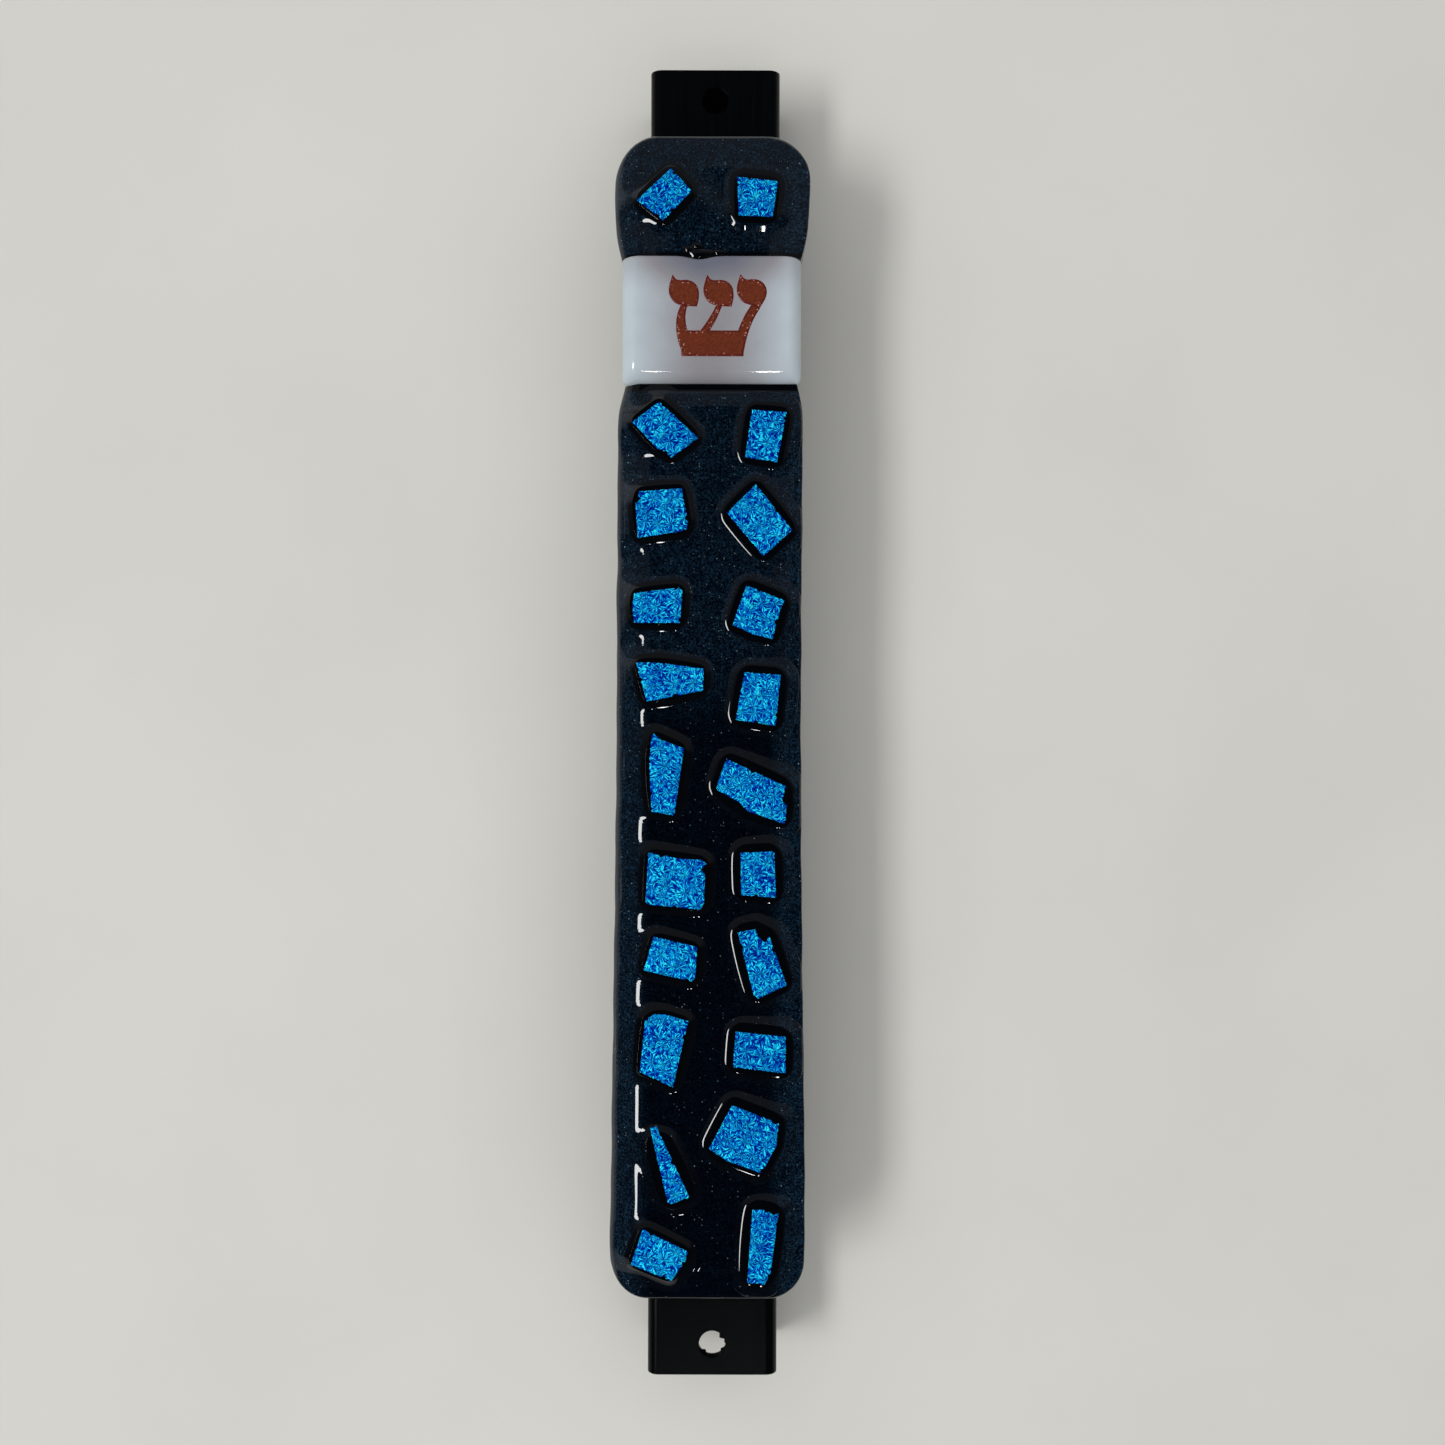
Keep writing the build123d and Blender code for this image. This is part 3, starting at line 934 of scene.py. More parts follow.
@dataclass
class GlassCap:
    """A dark cap fused onto the base sheet, with its chips sunk into it."""

    node: str
    plan: GlassPlan
    chips: list[Chip]
    band_end: int  # 1 where the band is at the cap's top end, -1 where it is at its lower end
    # the ledge beside the band is marked black: painted shade in the seam
    ledge_z: float  # beside the band, the glass is a black ledge at this level
    ledge: float  # of this width
    seam_width: float  # past the ledge, it rounds up over this much
    end_wall: float  # the free end's wall stands this high
    end_lean: float  # and leans in by this much
    walls: Pair = (1.6, 3.3)  # the left and right sides stand straight up this far
    lip: Pair = (0.5, 0.3)  # reach and height of the tight rounding above that
    edge_width: float = 4.2  # and the reach of the wide one
    end_blend: float = 6.0  # the walls take on the end's height over this much
    crown: float = 0.35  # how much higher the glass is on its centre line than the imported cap
    sag: float = 0.3  # how much lower than that it is at its sides
    wave: float = 0.03  # the dome has slow waves of this height
    black: Pair = (0.8, 1.05)  # a chip's black glass fades out between these
    cover: Pair = (1.65, 1.95)  # and its own mesh hides the cap's up to these
    sink: float = 0.03  # where it does, the cap's mesh is this much lower

    def __post_init__(self) -> None:
        """Take the cap's ends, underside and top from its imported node."""
        low, high = box_mm(self.node)
        self.low_y, self.high_y, self.floor_z = low[1], high[1], low[2]
        self.rise = high[2] - low[2] + self.crown
        self.soft = [chip for chip in self.chips if chip.form.crease]  # the others are hard-edged

    def depth(self, x: Array, y: Array, lean: float = 0.0) -> Array:
        """How far in from the cap's free edges a point is, with the two end corners rounded.

        Args:
            x: places across the case.
            y: places along it.
            lean: how much further in the free end is taken to be.

        Returns:
            Depths, negative outside the edges.
        """
        plan = self.plan
        across = x - plan.middle(y)
        side = plan.half(y, across) - np.abs(across)
        end, r = self.end(y) - lean, plan.foot_r if self.band_end > 0 else plan.head_r
        corner = r - np.hypot(r - side, r - end)
        return np.where((side < r) & (end < r), corner, np.minimum(side, end))

    def edge(self, x: Array, y: Array) -> tuple[Array, Array]:
        """How much of the wall's height a point has, and how far in from the wall's top it is."""
        outer, inner = np.maximum(self.depth(x, y), 0), self.depth(x, y, self.end_lean)
        return np.where(inner < 0, outer / (outer - inner + 1e-9), 1), np.maximum(inner, 0)

    def bare(self, x: Array, y: Array) -> Array:
        """Height of the glass with no chips.

        The floor, plus a wall, a lip and a dome. The wall stands straight at the sides and leans
        in at the free end. The lip is a quarter ellipse. The dome falls off with the square of
        the distance from the centre line and as a parabola to the edges, and has slow waves.
        Beside the band, another parabola leads down to the ledge.
        """
        upright, depth = self.edge(x, y)
        share = (x - self.plan.middle(y)) / self.plan.half(y, x)
        (left, right), lip = self.walls, self.lip[1]
        wall = left + (right - left) * (1 + share) / 2
        wall = self.end_wall + (wall - self.end_wall) * ease(0.0, self.end_blend, self.end(y))
        dome = self.rise - wall - lip - self.sag * share ** 2
        waves = self.wave * np.sin(0.55 * x + 0.31 * y) * np.sin(0.37 * y + 1.0) * ease(0.5, 4.0, depth)
        dome = (dome + waves - self.wave) * parabola(depth, self.edge_width)
        top = wall * upright + lip * quarter_round(depth, self.lip[0]) + dome
        ledge = np.minimum(self.ledge_z - self.floor_z, top)
        past = parabola(self.seam(y) - self.ledge, self.seam_width)
        return self.floor_z + ledge + (top - ledge) * past

    def seam(self, y: Array) -> Array:
        """How far a height is from the band."""
        return self.high_y - y if self.band_end > 0 else y - self.low_y

    def end(self, y: Array) -> Array:
        """How far a height is from the free end."""
        return y - self.low_y if self.band_end > 0 else self.high_y - y

    def marked(self, x: Array, y: Array) -> Array:
        """1 on the black glass of the chips and on the ledge, whose black is painted shade beside the
        band, and 0 on the flecked glass.
        """
        # painted shade: the seam beside the band is marked black
        mark = 1 - ease(self.ledge - 0.05, self.ledge + 0.15, self.seam(y))
        for chip in self.chips:
            near = chip.near(x, y)
            away = chip.distance(x[near], y[near])
            mark[near] = np.maximum(mark[near], 1 - ease(*self.black, away))
        return mark

    def mound(self, chip: Chip, x: Array, y: Array) -> Array:
        """Height of one mound: it falls away from its coat, and rounds off at the glass's edges."""
        upright, depth = self.edge(x, y)
        tall = chip.top_z - self.floor_z - chip.drop(chip.distance(x, y)) - self.lip[1]
        return self.floor_z + tall * upright + self.lip[1] * quarter_round(depth, self.lip[0])

    def height(self, x: Array, y: Array) -> Array:
        """Height of the glass: the smooth greater of the bare glass and the soft-edged mounds."""
        z = self.bare(x, y)
        for chip in self.soft:
            near = chip.near(x, y)
            z[near] = smooth_max(z[near], self.mound(chip, x[near], y[near]), chip.form.crease)
        return z

    def covered(self, x: Array, y: Array) -> Array:
        """1 where a soft mound's own mesh lies over the cap, easing to 0 beside it."""
        share = np.zeros(np.shape(x))
        for chip in self.soft:
            near = chip.near(x, y)
            away = chip.distance(x[near], y[near])
            share[near] = np.maximum(share[near], 1 - ease(*self.cover, away))
        return share * ease(0.8, 1.1, self.depth(x, y))

    def build(self, material: Material) -> Object:
        """The cap: a grid laid across the plan, its columns crowded like a sine to the sides.

        Point (i, j) is share u_j of the half width out from the centre line at height y_i.
        """
        plan = self.plan
        heights = plan.rows(self.low_y, self.high_y, 0.22)
        rows, columns = np.meshgrid(heights, crowded(137), indexing="ij")
        x = plan.middle(rows) + columns * (plan.half(rows, columns) - plan.cut_in(rows))
        z = self.height(x, rows) - self.sink * self.covered(x, rows)
        z[[0, -1], :] = z[:, [0, -1]] = self.floor_z
        shell = closed_grid(np.stack([x, rows, z], -1), {"chip": self.marked(x, rows)})
        return settle(shell.piece(self.node, material), Body.CASE, Slot.DARK_GLASS, self.node)


@dataclass
class BaseSheet:
    """The sheet under the caps and the band, its back edge eased."""

    plan: GlassPlan
    node: str = "base_glass"
    ease_r: float = 1.0

    def build(self, material: Material) -> Object:
        """Carry a profile round the outline: in by the ease at the back, then straight up.

        Point (i, j) is outline point j, moved in along its normal by r(1 - sin a_i) and raised to
        r(1 - cos a_i) above the back, with one more ring at the front.
        """
        low, high = box_mm(self.node)
        line = self.plan.outline(0.6)
        normal = loop_normals(line)
        angle = np.linspace(0, math.pi / 2, 9)
        inward = np.append(self.ease_r * (1 - np.sin(angle)), 0.0)
        level = np.append(low[2] + self.ease_r * (1 - np.cos(angle)), high[2])
        rings = line[None] - inward[:, None, None] * normal[None]
        points = np.dstack([rings, np.broadcast_to(level[:, None], rings.shape[:2])]).reshape(-1, 3)
        count = len(line)
        last = count * (len(level) - 1)
        caps = [list(range(count))[::-1], list(range(last, last + count))]
        shell = Shell(points, grid_quads(len(level), count, wrap=True), caps)
        return settle(shell.piece(self.node, material), Body.CASE, Slot.DARK_GLASS, self.node)


@dataclass
class ChipPair:
    """The mound and the coat of one chip, laid on the cap that carries it."""

    chip: Chip
    cap: GlassCap
    seed: int
    skin: float = 0.004  # a soft mound's mesh stands this far over the cap's own surface
    reach: float = 2.4  # the mound's mesh ends this far out from the coat
    soft_rim: float = 0.75  # or this far in from the glass's edge
    hard_rim: float = 0.03  # or so far, if the mound is hard-edged
    root_z: float = 17.0  # its last ring is this deep inside the cap
    bond: float = 0.012  # the film's edge stands this far over the mound
    film: float = 0.03  # and its middle this much higher
    nibble: float = 0.035  # how rough the nipped edge is
    bites: int = 3  # how many small shells have flaked off that edge

    def radii(self, middle: Array, unit: Array, length: Array) -> Array:
        """How far out each ring of the mound is along each ray.

        Inside, ring i is at a share of the first one. Outside, it is where the distance from the
        mound's outline is d_i, with two rings close together where the level part ends. Rays
        that would leave the glass are drawn in from there on.
        """
        level, pinch, plan = self.chip.form.level, 0.006, self.cap.plan
        rim = self.soft_rim if self.chip.form.crease else self.hard_rim
        offsets = np.sort(np.append(np.linspace(0.05, self.reach, 40), [level - pinch, level + pinch]))
        measure, far = self.chip.distance, length + 2 * self.reach
        ends = np.array([[level], [self.reach]])
        start, last = self.chip.ray_lengths(measure, middle, unit, far, ends)
        room = plan.half(middle[1], unit[:, 0]) - rim
        side = np.sign(unit[:, 0]) * room + plan.middle(middle[1]) - middle[0]
        edge = side / np.where(np.abs(unit[:, 0]) < 1e-3, 1e-3, unit[:, 0])
        share = np.clip((np.abs(edge) - start) / (last - start), 0.1, 1)
        past = np.clip(offsets[:, None] - level - pinch, 0, None)
        outer = self.chip.ray_lengths(measure, middle, unit, far, offsets[:, None] - past * (1 - share))
        return np.vstack([np.array([[0.0], [0.3], [0.6], [0.85]]) * outer[0], outer])

    def level(self, x: Array, y: Array) -> Array:
        """Height of the mound's mesh: the cap's with a thin skin, or its own if it is hard-edged."""
        if self.chip.form.crease:
            return self.cap.height(x, y) + self.skin
        return self.cap.mound(self.chip, x, y)

    def mound(self, material: Material) -> Object:
        """Black glass: rings of points around the chip.

        Rays leave the chip's middle through points spaced along its hull. Over the outer rings
        the skin sinks smoothly into the cap, and one more ring goes down inside it.
        """
        hull = along_loop(self.chip.hull, 0.14)
        middle = hull.mean(0)
        length = np.linalg.norm(hull - middle, axis=1)
        unit = (hull - middle) / length[:, None]
        radius = self.radii(middle, unit, length)
        radius = np.vstack([radius, radius[-1:]])
        plan = middle + radius[..., None] * unit
        x, y = plan[..., 0], plan[..., 1]
        thinned = ease(0.85, 1.0, np.linspace(0, 1, len(radius) - 1))[:, None]
        z = self.level(x, y)
        z[:-1] -= 2 * self.skin * thinned
        z[-1] = self.root_z
        name = f"chip_{self.chip.name}"
        shell = domed(np.dstack([plan, z]), {"chip": self.cap.marked(x, y)})
        return settle(shell.piece(name, material), Body.CASE, Slot.CHIP, name)

    def nipped(self, rng: np.random.Generator) -> Array:
        """The coat's outline, roughened at random and with a few small round bites."""
        line = along_loop(self.chip.corners, 0.07)
        normal = loop_normals(line)
        wave = np.convolve(np.tile(rng.normal(size=len(line)), 3), [0.25, 0.5, 0.25], "same")
        inward = 0.02 - self.nibble * wave[len(line):2 * len(line)]
        for at, r in zip(rng.integers(0, len(line), self.bites), rng.uniform(0.12, 0.3, self.bites)):
            apart = np.linalg.norm(line - line[at], axis=1)
            inward = np.maximum(inward, np.sqrt(np.clip(r * r - apart * apart, 0, None)))
        return line - inward[:, None] * normal

    def coat(self, material: Material) -> Object:
        """The film: the nipped outline drawn in ring by ring to the chip's middle.

        Point (i, j) is share s_i of the way from the middle to outline point j. Its height is the
        mound's own plus the film, thinned to the edge as 1 - s^8. One more ring is the edge's foot.
        """
        rng = np.random.default_rng(self.seed)
        line = self.nipped(rng)
        middle = self.chip.middle
        share = np.array([0.0, 0.12, 0.25, 0.38, 0.5, 0.6, 0.7, 0.79, 0.87, 0.93, 0.97, 1.0])
        plan = middle + share[:, None, None] * (line - middle)[None]
        z = self.level(plan[..., 0], plan[..., 1]) + self.bond
        z = z + self.film * (1 - share[:, None] ** 8)
        rings = np.concatenate([np.dstack([plan, z]), np.dstack([plan[-1:], z[-1:] - 0.05])])
        name = f"coat_{self.chip.name}"
        shell = domed(rings, {"tone": np.full(rings.shape[:2], rng.uniform(-1, 1))})
        return settle(shell.piece(name, material), Body.CASE, Slot.COAT, name)


@dataclass
class OpalBand:
    """The white band: a rounded block of opal glass across the front."""

    node: str = "white_band"
    corner_r: float = 1.0  # of the lower corners, seen from the front
    top_corner_r: float = 0.4
    round_r: float = 1.9  # its sides and its lower seam round down by this much
    low_reach: float = 2.8  # the seam over this width, and the sides over their own depth
    top_round: Pair = (0.55, 0.3)  # reach and drop of the rounding at the top seam
    swell: float = 0.06  # its middle is this much higher than its ends
    drip_x: float = -1.8  # where the dark glass above dips into the band's top edge
    drip_width: float = 1.5
    drip_depth: float = 0.4

    def __post_init__(self) -> None:
        """Take the band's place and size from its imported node."""
        low, high = box_mm(self.node)
        self.centre, self.size = (low + high) / 2, (high - low) / 2
        self.low_z, self.top_z = low[2], high[2] - self.swell

    def height(self, x: Array, y: Array, half: Array | None = None) -> Array:
        """Height of the band's face at points measured from its centre.

        The top, plus a swell of 1 - v^2 along the case, less r(1 - A B), where A and B are the
        quarter rounds of the distances in from the sides and from the lower seam, and less a
        smaller rounding at the top seam.
        """
        side = (self.size[0] if half is None else half) - np.abs(x)
        edge = quarter_round(side, self.round_r) * quarter_round(self.size[1] + y, self.low_reach)
        reach, drop = self.top_round
        drop = drop * (1 - quarter_round(self.size[1] - y, reach))
        swell = self.swell * (1 - (y / self.size[1]) ** 2)
        return self.top_z + swell - self.round_r * (1 - edge) - drop

    def build(self, material: Material) -> Object:
        """A grid over a rectangle with rounded corners, closed by a skirt.

        The depth mark is painted shade, with some of the dark ground under the face: most on the centre
        line, as (1 - u^2)^1.5, and more again towards the top seam.
        """
        width, length = self.size[:2]
        y, columns = np.meshgrid(crowded(110) * length, crowded(130), indexing="ij")
        r = np.where(y > 0, self.top_corner_r, self.corner_r)
        inside = np.clip(r - (length - np.abs(y)), 0, r)
        half = width - (r - np.sqrt(r * r - inside * inside))
        x = columns * half
        z = self.height(x, y, half)
        share_x, share_y = x / width, y / length
        # painted shade: greyer over the middle and towards the top seam
        depth = 0.55 * (1 - share_x ** 2) ** 1.5
        depth = depth + 0.5 * ease(0.35, 1.05, share_y) * (0.45 + 0.55 * (1 - share_x ** 2))
        dip = self.drip_depth * np.exp(-((x + self.centre[0] - self.drip_x) / self.drip_width) ** 2)
        y = y - dip * ease(0.0, length, y)
        face = np.stack([x + self.centre[0], y + self.centre[1], z], -1)
        shell = skirted(face, self.low_z, "depth", depth)
        return settle(shell.piece(self.node, material), Body.CASE, Slot.OPAL, self.node)


@dataclass
class DripBead:
    """A bead of black glass that has run over the band's top edge."""

    name: str
    centre: Pair
    size: Pair
    root_z: float = 20.5
    top_z: float = 20.86
    uneven: float = 0.12  # its outline swells and narrows by this share

    def build(self, material: Material) -> Object:
        """Half an egg: ring i has share s_i of the size, and stands at root + h root(1 - s^2)."""
        share, angle = crowded(20, 0.0), turns(72)
        sag = 1 + self.uneven * np.sin(3 * angle + 0.6)
        x = self.centre[0] + self.size[0] * share[:, None] * np.cos(angle) * sag
        y = self.centre[1] + self.size[1] * share[:, None] * np.sin(angle) * sag
        rise = (self.top_z - self.root_z) * np.sqrt(np.clip(1 - share ** 2, 0, 1))
        z = self.root_z + np.repeat(rise[:, None], len(angle), 1)
        shell = domed(np.dstack([x, y, z]), {"chip": np.ones(z.shape)})
        return settle(shell.piece(self.name, material), Body.CASE, Slot.CHIP)


@dataclass
class FiredLetter:
    """The letter Shin in a traditional square hand: three crowned heads on limbs with one foot.

    Its points are measured from the middle of the foot's lower edge.
    """

    band: OpalBand
    node: str = "shin_letter"
    foot: tuple[Pair, ...] = ((-3.65, 0.0), (3.6, 0.0), (3.8, 3.0), (-3.75, 3.0))
    heads: tuple[Pair, ...] = ((-3.35, 7.6), (0.7, 7.6), (4.6, 7.7))
    # a head's corners round its middle: the crown's tip and the heel are doubled, to stay sharp
    head: tuple[Pair, ...] = (
        (-1.35, 1.95), (-1.35, 1.95), (-0.85, 1.2), (0.55, 1.4), (1.6, 0.7), (1.8, -0.6),
        (1.5, -1.8), (1.5, -1.8), (0.0, -1.75), (-1.25, -1.4), (-1.95, 0.0),
    )
    last_heel: Pair = (0.8, -2.2)  # the third head runs on into its limb
    # each limb: top, the point it leans towards, foot, width at the top and at the foot
    limbs: tuple[tuple, ...] = (
        ((-3.3, 6.0), (-4.25, 3.9), (-3.0, 1.2), 0.72, 1.6),
        ((0.85, 6.2), (0.2, 4.4), (-1.3, 2.4), 0.62, 0.95),
        ((5.1, 5.9), (3.6, 3.9), (3.0, 0.6), 1.05, 1.3),
    )
    foot_x: float = -0.5  # the foot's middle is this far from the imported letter's
    room: tuple[Pair, ...] = ((-5.8, 6.9), (-0.4, 10.1))  # the grid spans these
    step: float = 0.055
    edge: float = 0.09  # the enamel's edge rises over this much, each way
    thick: float = 0.09
    sunk: float = 0.05  # outside the letter, the grid lies this far under the band's face
    skirt: float = 0.4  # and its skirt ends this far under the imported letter

    def limb(self, top: Pair, pull: Pair, foot: Pair, wide_top: float, wide_foot: float) -> Array:
        """One limb's outline: a bent centre line with a width that grows evenly."""
        line = bend(top, pull, foot)
        along = np.gradient(line, axis=0)
        normal = np.column_stack([-along[:, 1], along[:, 0]]) / np.linalg.norm(along, axis=1)[:, None]
        half = np.linspace(wide_top, wide_foot, len(line))[:, None] / 2
        return np.vstack([line + half * normal, (line - half * normal)[::-1]])

    def outlines(self) -> list[Array]:
        """The closed lines whose union is the letter."""
        shapes = [np.array(self.foot)]
        for place, middle in enumerate(self.heads):
            corners = np.array(self.head)
            if place == len(self.heads) - 1:
                corners[6:8] = self.last_heel
            shapes.append(soften(corners) + middle)
        return shapes + [self.limb(*limb) for limb in self.limbs]

    def build(self, material: Material) -> Object:
        """A grid under the band's face that rises through it inside the letter.

        Height is the band's own, less the sunk depth outside the outline and plus the thickness
        inside it, with a smooth step between. The inset mark is the distance in from the outline.
        """
        low, high = box_mm(self.node)
        x, y = np.meshgrid(*(np.arange(start, end, self.step) for start, end in self.room))
        inside = np.max([inset(x, y, line) for line in self.outlines()], axis=0)
        x, y = x + ((low[0] + high[0]) / 2 + self.foot_x), y + low[1]
        face = self.band.height(x - self.band.centre[0], y - self.band.centre[1])
        z = face - self.sunk + (self.sunk + self.thick) * ease(-self.edge, self.edge, inside)
        shell = skirted(np.stack([x, y, z], -1), low[2] - self.skirt, "inset", inside)
        return settle(shell.piece(f"{self.node}_enamel", material), Body.CASE, Slot.ENAMEL, self.node)


# ---------------------------------------------------------------- the back


@dataclass
class BackChannel:
    """The plastic channel with its two drilled holes, and the tape that bonds the glass to it."""

    hole_r: float = 1.75
    hole_y: float = 76.2
    lip: float = 0.09  # radius of the section of the lip that the drill raised
    bedded: float = 0.05  # the rings reach this far into the hole's wall
    thread: float = 0.05  # radius of the swarf where it is thinnest
    swarf: float = 0.34  # and what a whole lump adds to it
    swarf_depth: float = 0.35  # it lies this far under the lip
    # each lump of swarf: its turn round the hole, its width there, and its share of the swarf
    lumps: tuple[tuple[float, float, float], ...] = (
        (0.65, 0.3, 0.85), (0.1, 0.12, 0.35), (-0.55, 0.22, 0.7), (-2.35, 0.3, 0.8), (-1.6, 0.25, 0.35),
    )

    def build(self, plastic: Material, tape: Material) -> None:
        """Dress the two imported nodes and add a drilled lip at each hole."""
        dress("back_channel", plastic)
        dress("bonding_tape", tape)
        face_z = box_mm("back_channel")[1][2]
        for name, end in (("upper", 1), ("lower", -1)):
            self.ring(f"hole_lip_{name}", plastic, end * self.hole_y, face_z, self.even)
        self.ring("drill_swarf", plastic, -self.hole_y, face_z - self.swarf_depth, self.ragged)

    def even(self, turn: Array) -> Array:
        """Thickness of a drilled lip."""
        return np.full(turn.shape, self.lip)

    def ragged(self, turn: Array) -> Array:
        """Thickness of the torn plastic left in the hole: bell-shaped lumps on a thin thread."""
        return self.thread + sum(
            self.swarf * tall * np.exp(-((np.angle(np.exp(1j * (turn - at)))) / wide) ** 2)
            for at, wide, tall in self.lumps
        )

    def ring(
        self, name: str, material: Material, y: float, z: float, thick: Callable[[Array], Array]
    ) -> Object:
        """A ring of varying thickness round a hole's wall.

        Point (i, j) is at turn a_i round the hole and b_j round the ring's own section, which is
        a circle of radius thick(a), its outer side just inside the wall.

        Args:
            name: the piece's name.
            material: what it is made of.
            y: the hole's place along the case.
            z: the ring's level.
            thick: the section's radius for an array of turns.

        Returns:
            The new piece.
        """
        turn, section = turns(120)[:, None], turns(12)[None]
        size = thick(turn)
        uneven = 0.03 * np.sin(9 * turn) * (size > self.lip)
        wall = self.hole_r + self.bedded - size * (1 + np.cos(section)) + uneven
        level = z - 0.5 * size * np.sin(section) - self.lip / 2
        points = np.dstack([wall * np.cos(turn), y + wall * np.sin(turn), level])
        closed = np.concatenate([points, points[:1]])
        shell = Shell(closed.reshape(-1, 3), grid_quads(*closed.shape[:2], wrap=True))
        return settle(shell.piece(name, material), Body.CASE, Slot.CHANNEL)


@dataclass
class RolledParchment:
    """The parchment: one sheet wound on itself, and blank."""

    node: str = "parchment_scroll"
    sheet: float = 0.17
    pitch: float = 0.30  # room that one turn takes
    core_r: float = 1.4
    clear: float = 0.02  # room left round the roll
    turn_points: int = 44
    row_points: int = 12
    end_gap: float = 0.3  # the sheet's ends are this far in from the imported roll's
    frayed_y: float = 49.0  # and uneven from here on out

    def build(self, material: Material) -> Object:
        """A spiral sheet: at turn a its radius grows by the pitch each full turn.

        Point (i, j) is at turn a_i, on the inner or the outer skin, at one of the two ends or
        between them, so that the four lines of j make a closed strip.
        """
        low, high = box_mm(self.node)
        centre = (low + high) / 2
        outer = (high[0] - low[0]) / 2 - self.sheet / 2 - self.clear
        rounds = (outer - self.core_r) / self.pitch
        a = np.linspace(0, math.tau * rounds, round(rounds * self.turn_points))[:, None]
        radius = np.minimum(self.core_r + self.sheet / 2 + self.pitch * a / math.tau, outer)
        fray = 0.12 * np.sin(1.3 * a) + 0.08 * np.sin(3.1 * a + 1)
        start, end = low[1] + self.end_gap, high[1] - self.end_gap
        along = np.concatenate([
            np.linspace(start, end, self.row_points), np.linspace(end, start, self.row_points)
        ])
        r = radius + np.repeat([self.sheet / 2, -self.sheet / 2], self.row_points)
        y = np.broadcast_to(along + fray * (np.abs(along) > self.frayed_y), r.shape)
        points = np.dstack([centre[0] + r * np.cos(a), y, centre[2] + r * np.sin(a)])
        width, last = r.shape[1], (r.shape[0] - 1) * r.shape[1]
        caps = [list(range(width)), list(range(last, last + width))[::-1]]
        shell = Shell(points.reshape(-1, 3), grid_quads(*r.shape, wrap=True), caps)
        piece = shell.piece("parchment_roll", material)
        work = bmesh.new()
        work.from_mesh(piece.data)
        bmesh.ops.recalc_face_normals(work, faces=work.faces)
        work.to_mesh(piece.data)
        work.free()
        return settle(piece, Body.PARCHMENT, Slot.PARCHMENT, self.node)


# ---------------------------------------------------------------- the studio


class LampShape(Enum):
    """The shapes of a flat lamp, each with its share of its bounding rectangle's area."""

    RECTANGLE = 1.0
    ELLIPSE = math.pi / 4


@dataclass
class SoftLamp:
    """A flat lamp that shines at the case from a direction, with a given size to the eye."""

    name: str
    lean_x: float  # degrees from straight up, towards +X
    lean_y: float  # and towards +Y
    wide: float  # degrees across, along X
    tall: float  # degrees across, along Y
    glow: float  # radiance, where 1 is a white wall under the whole light
    away: float = 1.6  # metres
    aim: tuple[float, float, float] = (0.0, 0.0, 0.02)  # the middle of the case, in metres
    lights: bool = True  # whether it lights matt surfaces
    glints: bool = True  # whether glossy surfaces reflect it
    shape: LampShape = LampShape.RECTANGLE

    def build(self) -> Object:
        """Place the lamp so that it faces what it aims at."""
        leans = (math.tan(math.radians(angle)) for angle in (self.lean_x, self.lean_y))
        toward = Vector((*leans, 1)).normalized()
        light = bpy.data.lights.new(self.name, "AREA")
        light.shape = self.shape.name
        light.size, light.size_y = (
            2 * self.away * math.tan(math.radians(angle) / 2) for angle in (self.wide, self.tall)
        )
        light.energy = self.glow * math.pi * light.size * light.size_y * self.shape.value
        lamp = bpy.data.objects.new(self.name, light)
        lamp.location = Vector(self.aim) + self.away * toward
        # the lamp's own Y lies along the case
        across = Vector((0, 1, 0)).cross(toward).normalized()
        up = toward.cross(across)
        basis = [[across[i], up[i], toward[i]] for i in range(3)]
        lamp.rotation_euler = Matrix(basis).to_euler()
        lamp.visible_diffuse, lamp.visible_glossy = self.lights, self.glints
        lamp.visible_camera = False
        bpy.context.scene.collection.objects.link(lamp)
        return lamp


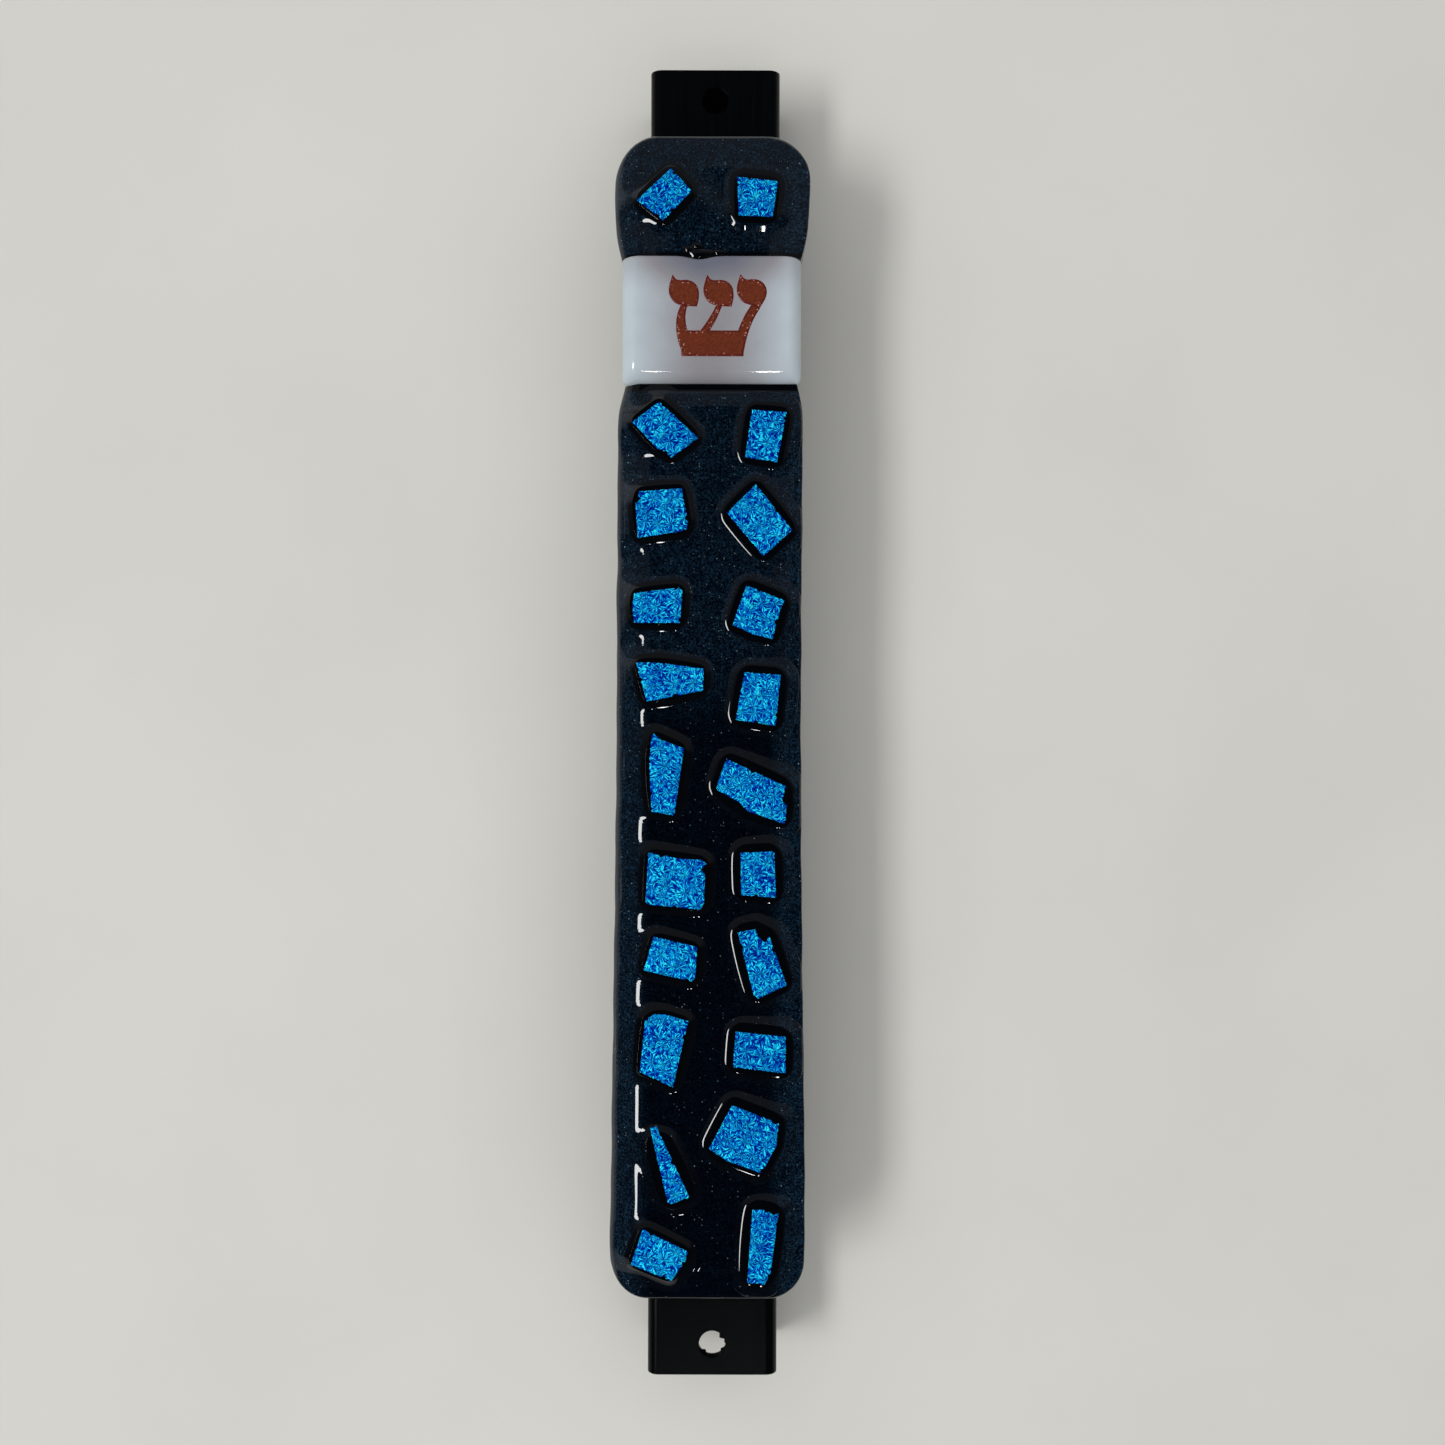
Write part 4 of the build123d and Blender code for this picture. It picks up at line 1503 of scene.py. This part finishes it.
@dataclass
class Studio:
    """A plain table, soft light from one window side, and a camera straight above."""

    camera_at: tuple[float, float, float] = (1.075, 0.0, 190.1)
    camera_turn: float = 0.154  # degrees
    view_angle: float = 53.06  # degrees
    table_size: float = 8.0  # metres
    # the room is dark straight overhead, out to these slopes, from a middle towards the viewer
    dark_half: Pair = (0.33, 0.675)
    dark_middle_y: float = -0.3
    dark_edge: Pair = (0.97, 1.04)  # it ends between these shares of the way out to them
    near_side: float = 0.02  # how bright the ceiling is on the viewer's side
    far_side: float = 0.135  # and on the far one
    far_y: Pair = (-0.1, 0.35)  # between these directions it goes from one to the other
    horizon: float = 0.35
    horizon_z: Pair = (0.08, 0.16)  # the horizon's glow fades between these heights
    air: str = "F6F9FF"

    def table(self) -> None:
        """The table: one flat face on the plane that the case lies on."""
        h = self.table_size / 2 / MM
        points = np.array([[-h, -h, 0], [h, -h, 0], [h, h, 0], [-h, h, 0]])
        shell = Shell(points, np.array([[0, 1, 2, 3]]))
        top = shell.piece("table_top", PaleTable().build(), smooth=False)

    def world(self) -> None:
        """The room: pale at the horizon, dim above it on the far side, and dark overhead.

        Dark overhead is an ellipse of slopes: the way out is the root of the sum of both slopes'
        squares, each as a share of the ellipse's half width. The glow is the ceiling's brightness
        where that way is past its edge, plus the horizon's.
        """
        world = bpy.data.worlds.new("room")
        bpy.context.scene.world = world
        world.use_nodes = True
        world.node_tree.nodes.clear()
        add = partial(add_node, world.node_tree)
        axes = add("SeparateXYZ", (add("TexCoord").outputs["Generated"],)).outputs
        up = add("Math", (axes["Z"], 0.02), operation="MAXIMUM")
        squares = []
        for axis, middle, half in zip("XY", (0.0, self.dark_middle_y), self.dark_half):
            slope = add("Math", (axes[axis], up), operation="DIVIDE")
            away = add("Math", (slope, middle), operation="SUBTRACT")
            share = add("Math", (away, half), operation="DIVIDE")
            squares.append(add("Math", (share, 2.0), operation="POWER"))
        way_out = add("Math", (add("Math", tuple(squares), operation="ADD"),), operation="SQRT")
        spans = (
            (way_out, *self.dark_edge),
            (axes["Y"], *self.far_y, self.near_side, self.far_side),
            (axes["Z"], *self.horizon_z, self.horizon, 0.0),
        )
        opened, side, low = (add("MapRange", span, interpolation_type="SMOOTHSTEP") for span in spans)
        glow = add("Math", (opened, side), operation="MULTIPLY")
        glow = add("Math", (glow, low), operation="ADD")
        back = add("Background", {"Color": linear(self.air), "Strength": glow})
        add("OutputWorld", (back,))

    def lamps(self) -> None:
        """One tall window, the part of it that gloss shows, two narrow ones, and a soft fill."""
        oval = LampShape.ELLIPSE
        for lamp in (
            SoftLamp("window_light", -33.0, -11.0, 11.0, 26.0, 15.5, glints=False),
            SoftLamp("window_glint", -33.0, -10.5, 9.0, 29.0, 16.0, lights=False, shape=oval),
            SoftLamp("far_window_right", 2.3, -33.0, 0.8, 5.0, 45.0),
            SoftLamp("far_window_left", -3.5, -33.0, 0.7, 3.5, 45.0),
            SoftLamp("room_fill", 0.0, 0.0, 104.0, 104.0, 0.86, glints=False),
        ):
            lamp.build()

    def camera(self) -> None:
        """A camera that looks straight down from a little to the right of the case's middle."""
        data = bpy.data.cameras.new("camera")
        data.sensor_width = 36.0
        data.lens = data.sensor_width / 2 / math.tan(math.radians(self.view_angle) / 2)
        data.clip_start = 0.01
        eye = bpy.data.objects.new("camera", data)
        eye.location = Vector(self.camera_at) * MM
        eye.rotation_euler = (0, 0, math.radians(self.camera_turn))
        bpy.context.scene.collection.objects.link(eye)
        bpy.context.scene.camera = eye

    def build(self) -> None:
        """Set the whole studio."""
        bpy.context.scene.view_settings.view_transform = "Standard"
        self.table()
        self.world()
        self.lamps()
        self.camera()
        LOG.info("set the studio")


def main() -> None:
    """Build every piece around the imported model, then the studio, and note the sizes."""
    logging.basicConfig(level=logging.INFO, format="%(name)s: %(message)s")
    low, high = box_mm("base_glass")
    lower_x, upper_x = (sum(box_mm(f"{end}_cap_glass"))[0] / 2 for end in ("lower", "upper"))
    plan = GlassPlan(spine=((lower_x, -61.0), (upper_x, 62.5)), low_y=low[1], high_y=high[1])
    navy, black, coat = AventurineGlass().build(), ChipGlass().build(), DichroicCoat().build()
    names = sorted(n.removeprefix("coat_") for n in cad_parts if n.startswith("coat_"))
    upper = [Chip(name) for name in names if name.startswith("upper")]
    lower = [Chip(name) for name in names if not name.startswith("upper")]
    BaseSheet(plan).build(navy)
    for cap in (
        GlassCap(
            "upper_cap_glass", plan, upper, band_end=-1, ledge_z=22.0, ledge=0.5,
            seam_width=0.25, end_wall=2.6, end_lean=1.0,
        ),
        GlassCap(
            "lower_cap_glass", plan, lower, band_end=1, ledge_z=19.8, ledge=0.8,
            seam_width=2.2, end_wall=3.3, end_lean=1.1,
        ),
    ):
        cap.build(navy)
        for chip in cap.chips:
            pair = ChipPair(chip, cap, seed=names.index(chip.name) + FIRST_SEED)
            pair.mound(black)
            pair.coat(coat)
    band = OpalBand()
    band.build(OpalGlass().build())
    for bead in (
        DripBead("drip_bead_middle", (-1.75, 54.9), (2.2, 0.95), root_z=19.9, top_z=20.92),
        DripBead("drip_bead_left", (-3.0, 55.4), (0.8, 0.5)),
        DripBead("drip_bead_top", (-2.1, 55.8), (0.65, 0.45)),
        DripBead("drip_bead_right", (0.5, 55.0), (0.75, 0.45)),
    ):
        bead.build(black)
    FiredLetter(band).build(FiredEnamel().build())
    BackChannel().build(SatinPlastic().build(), FoamTape().build())
    dress("scroll_sleeve", ClearPlastic().build())
    RolledParchment().build(ParchmentSkin().build())
    Studio().build()


if __name__ == "__main__":
    main()
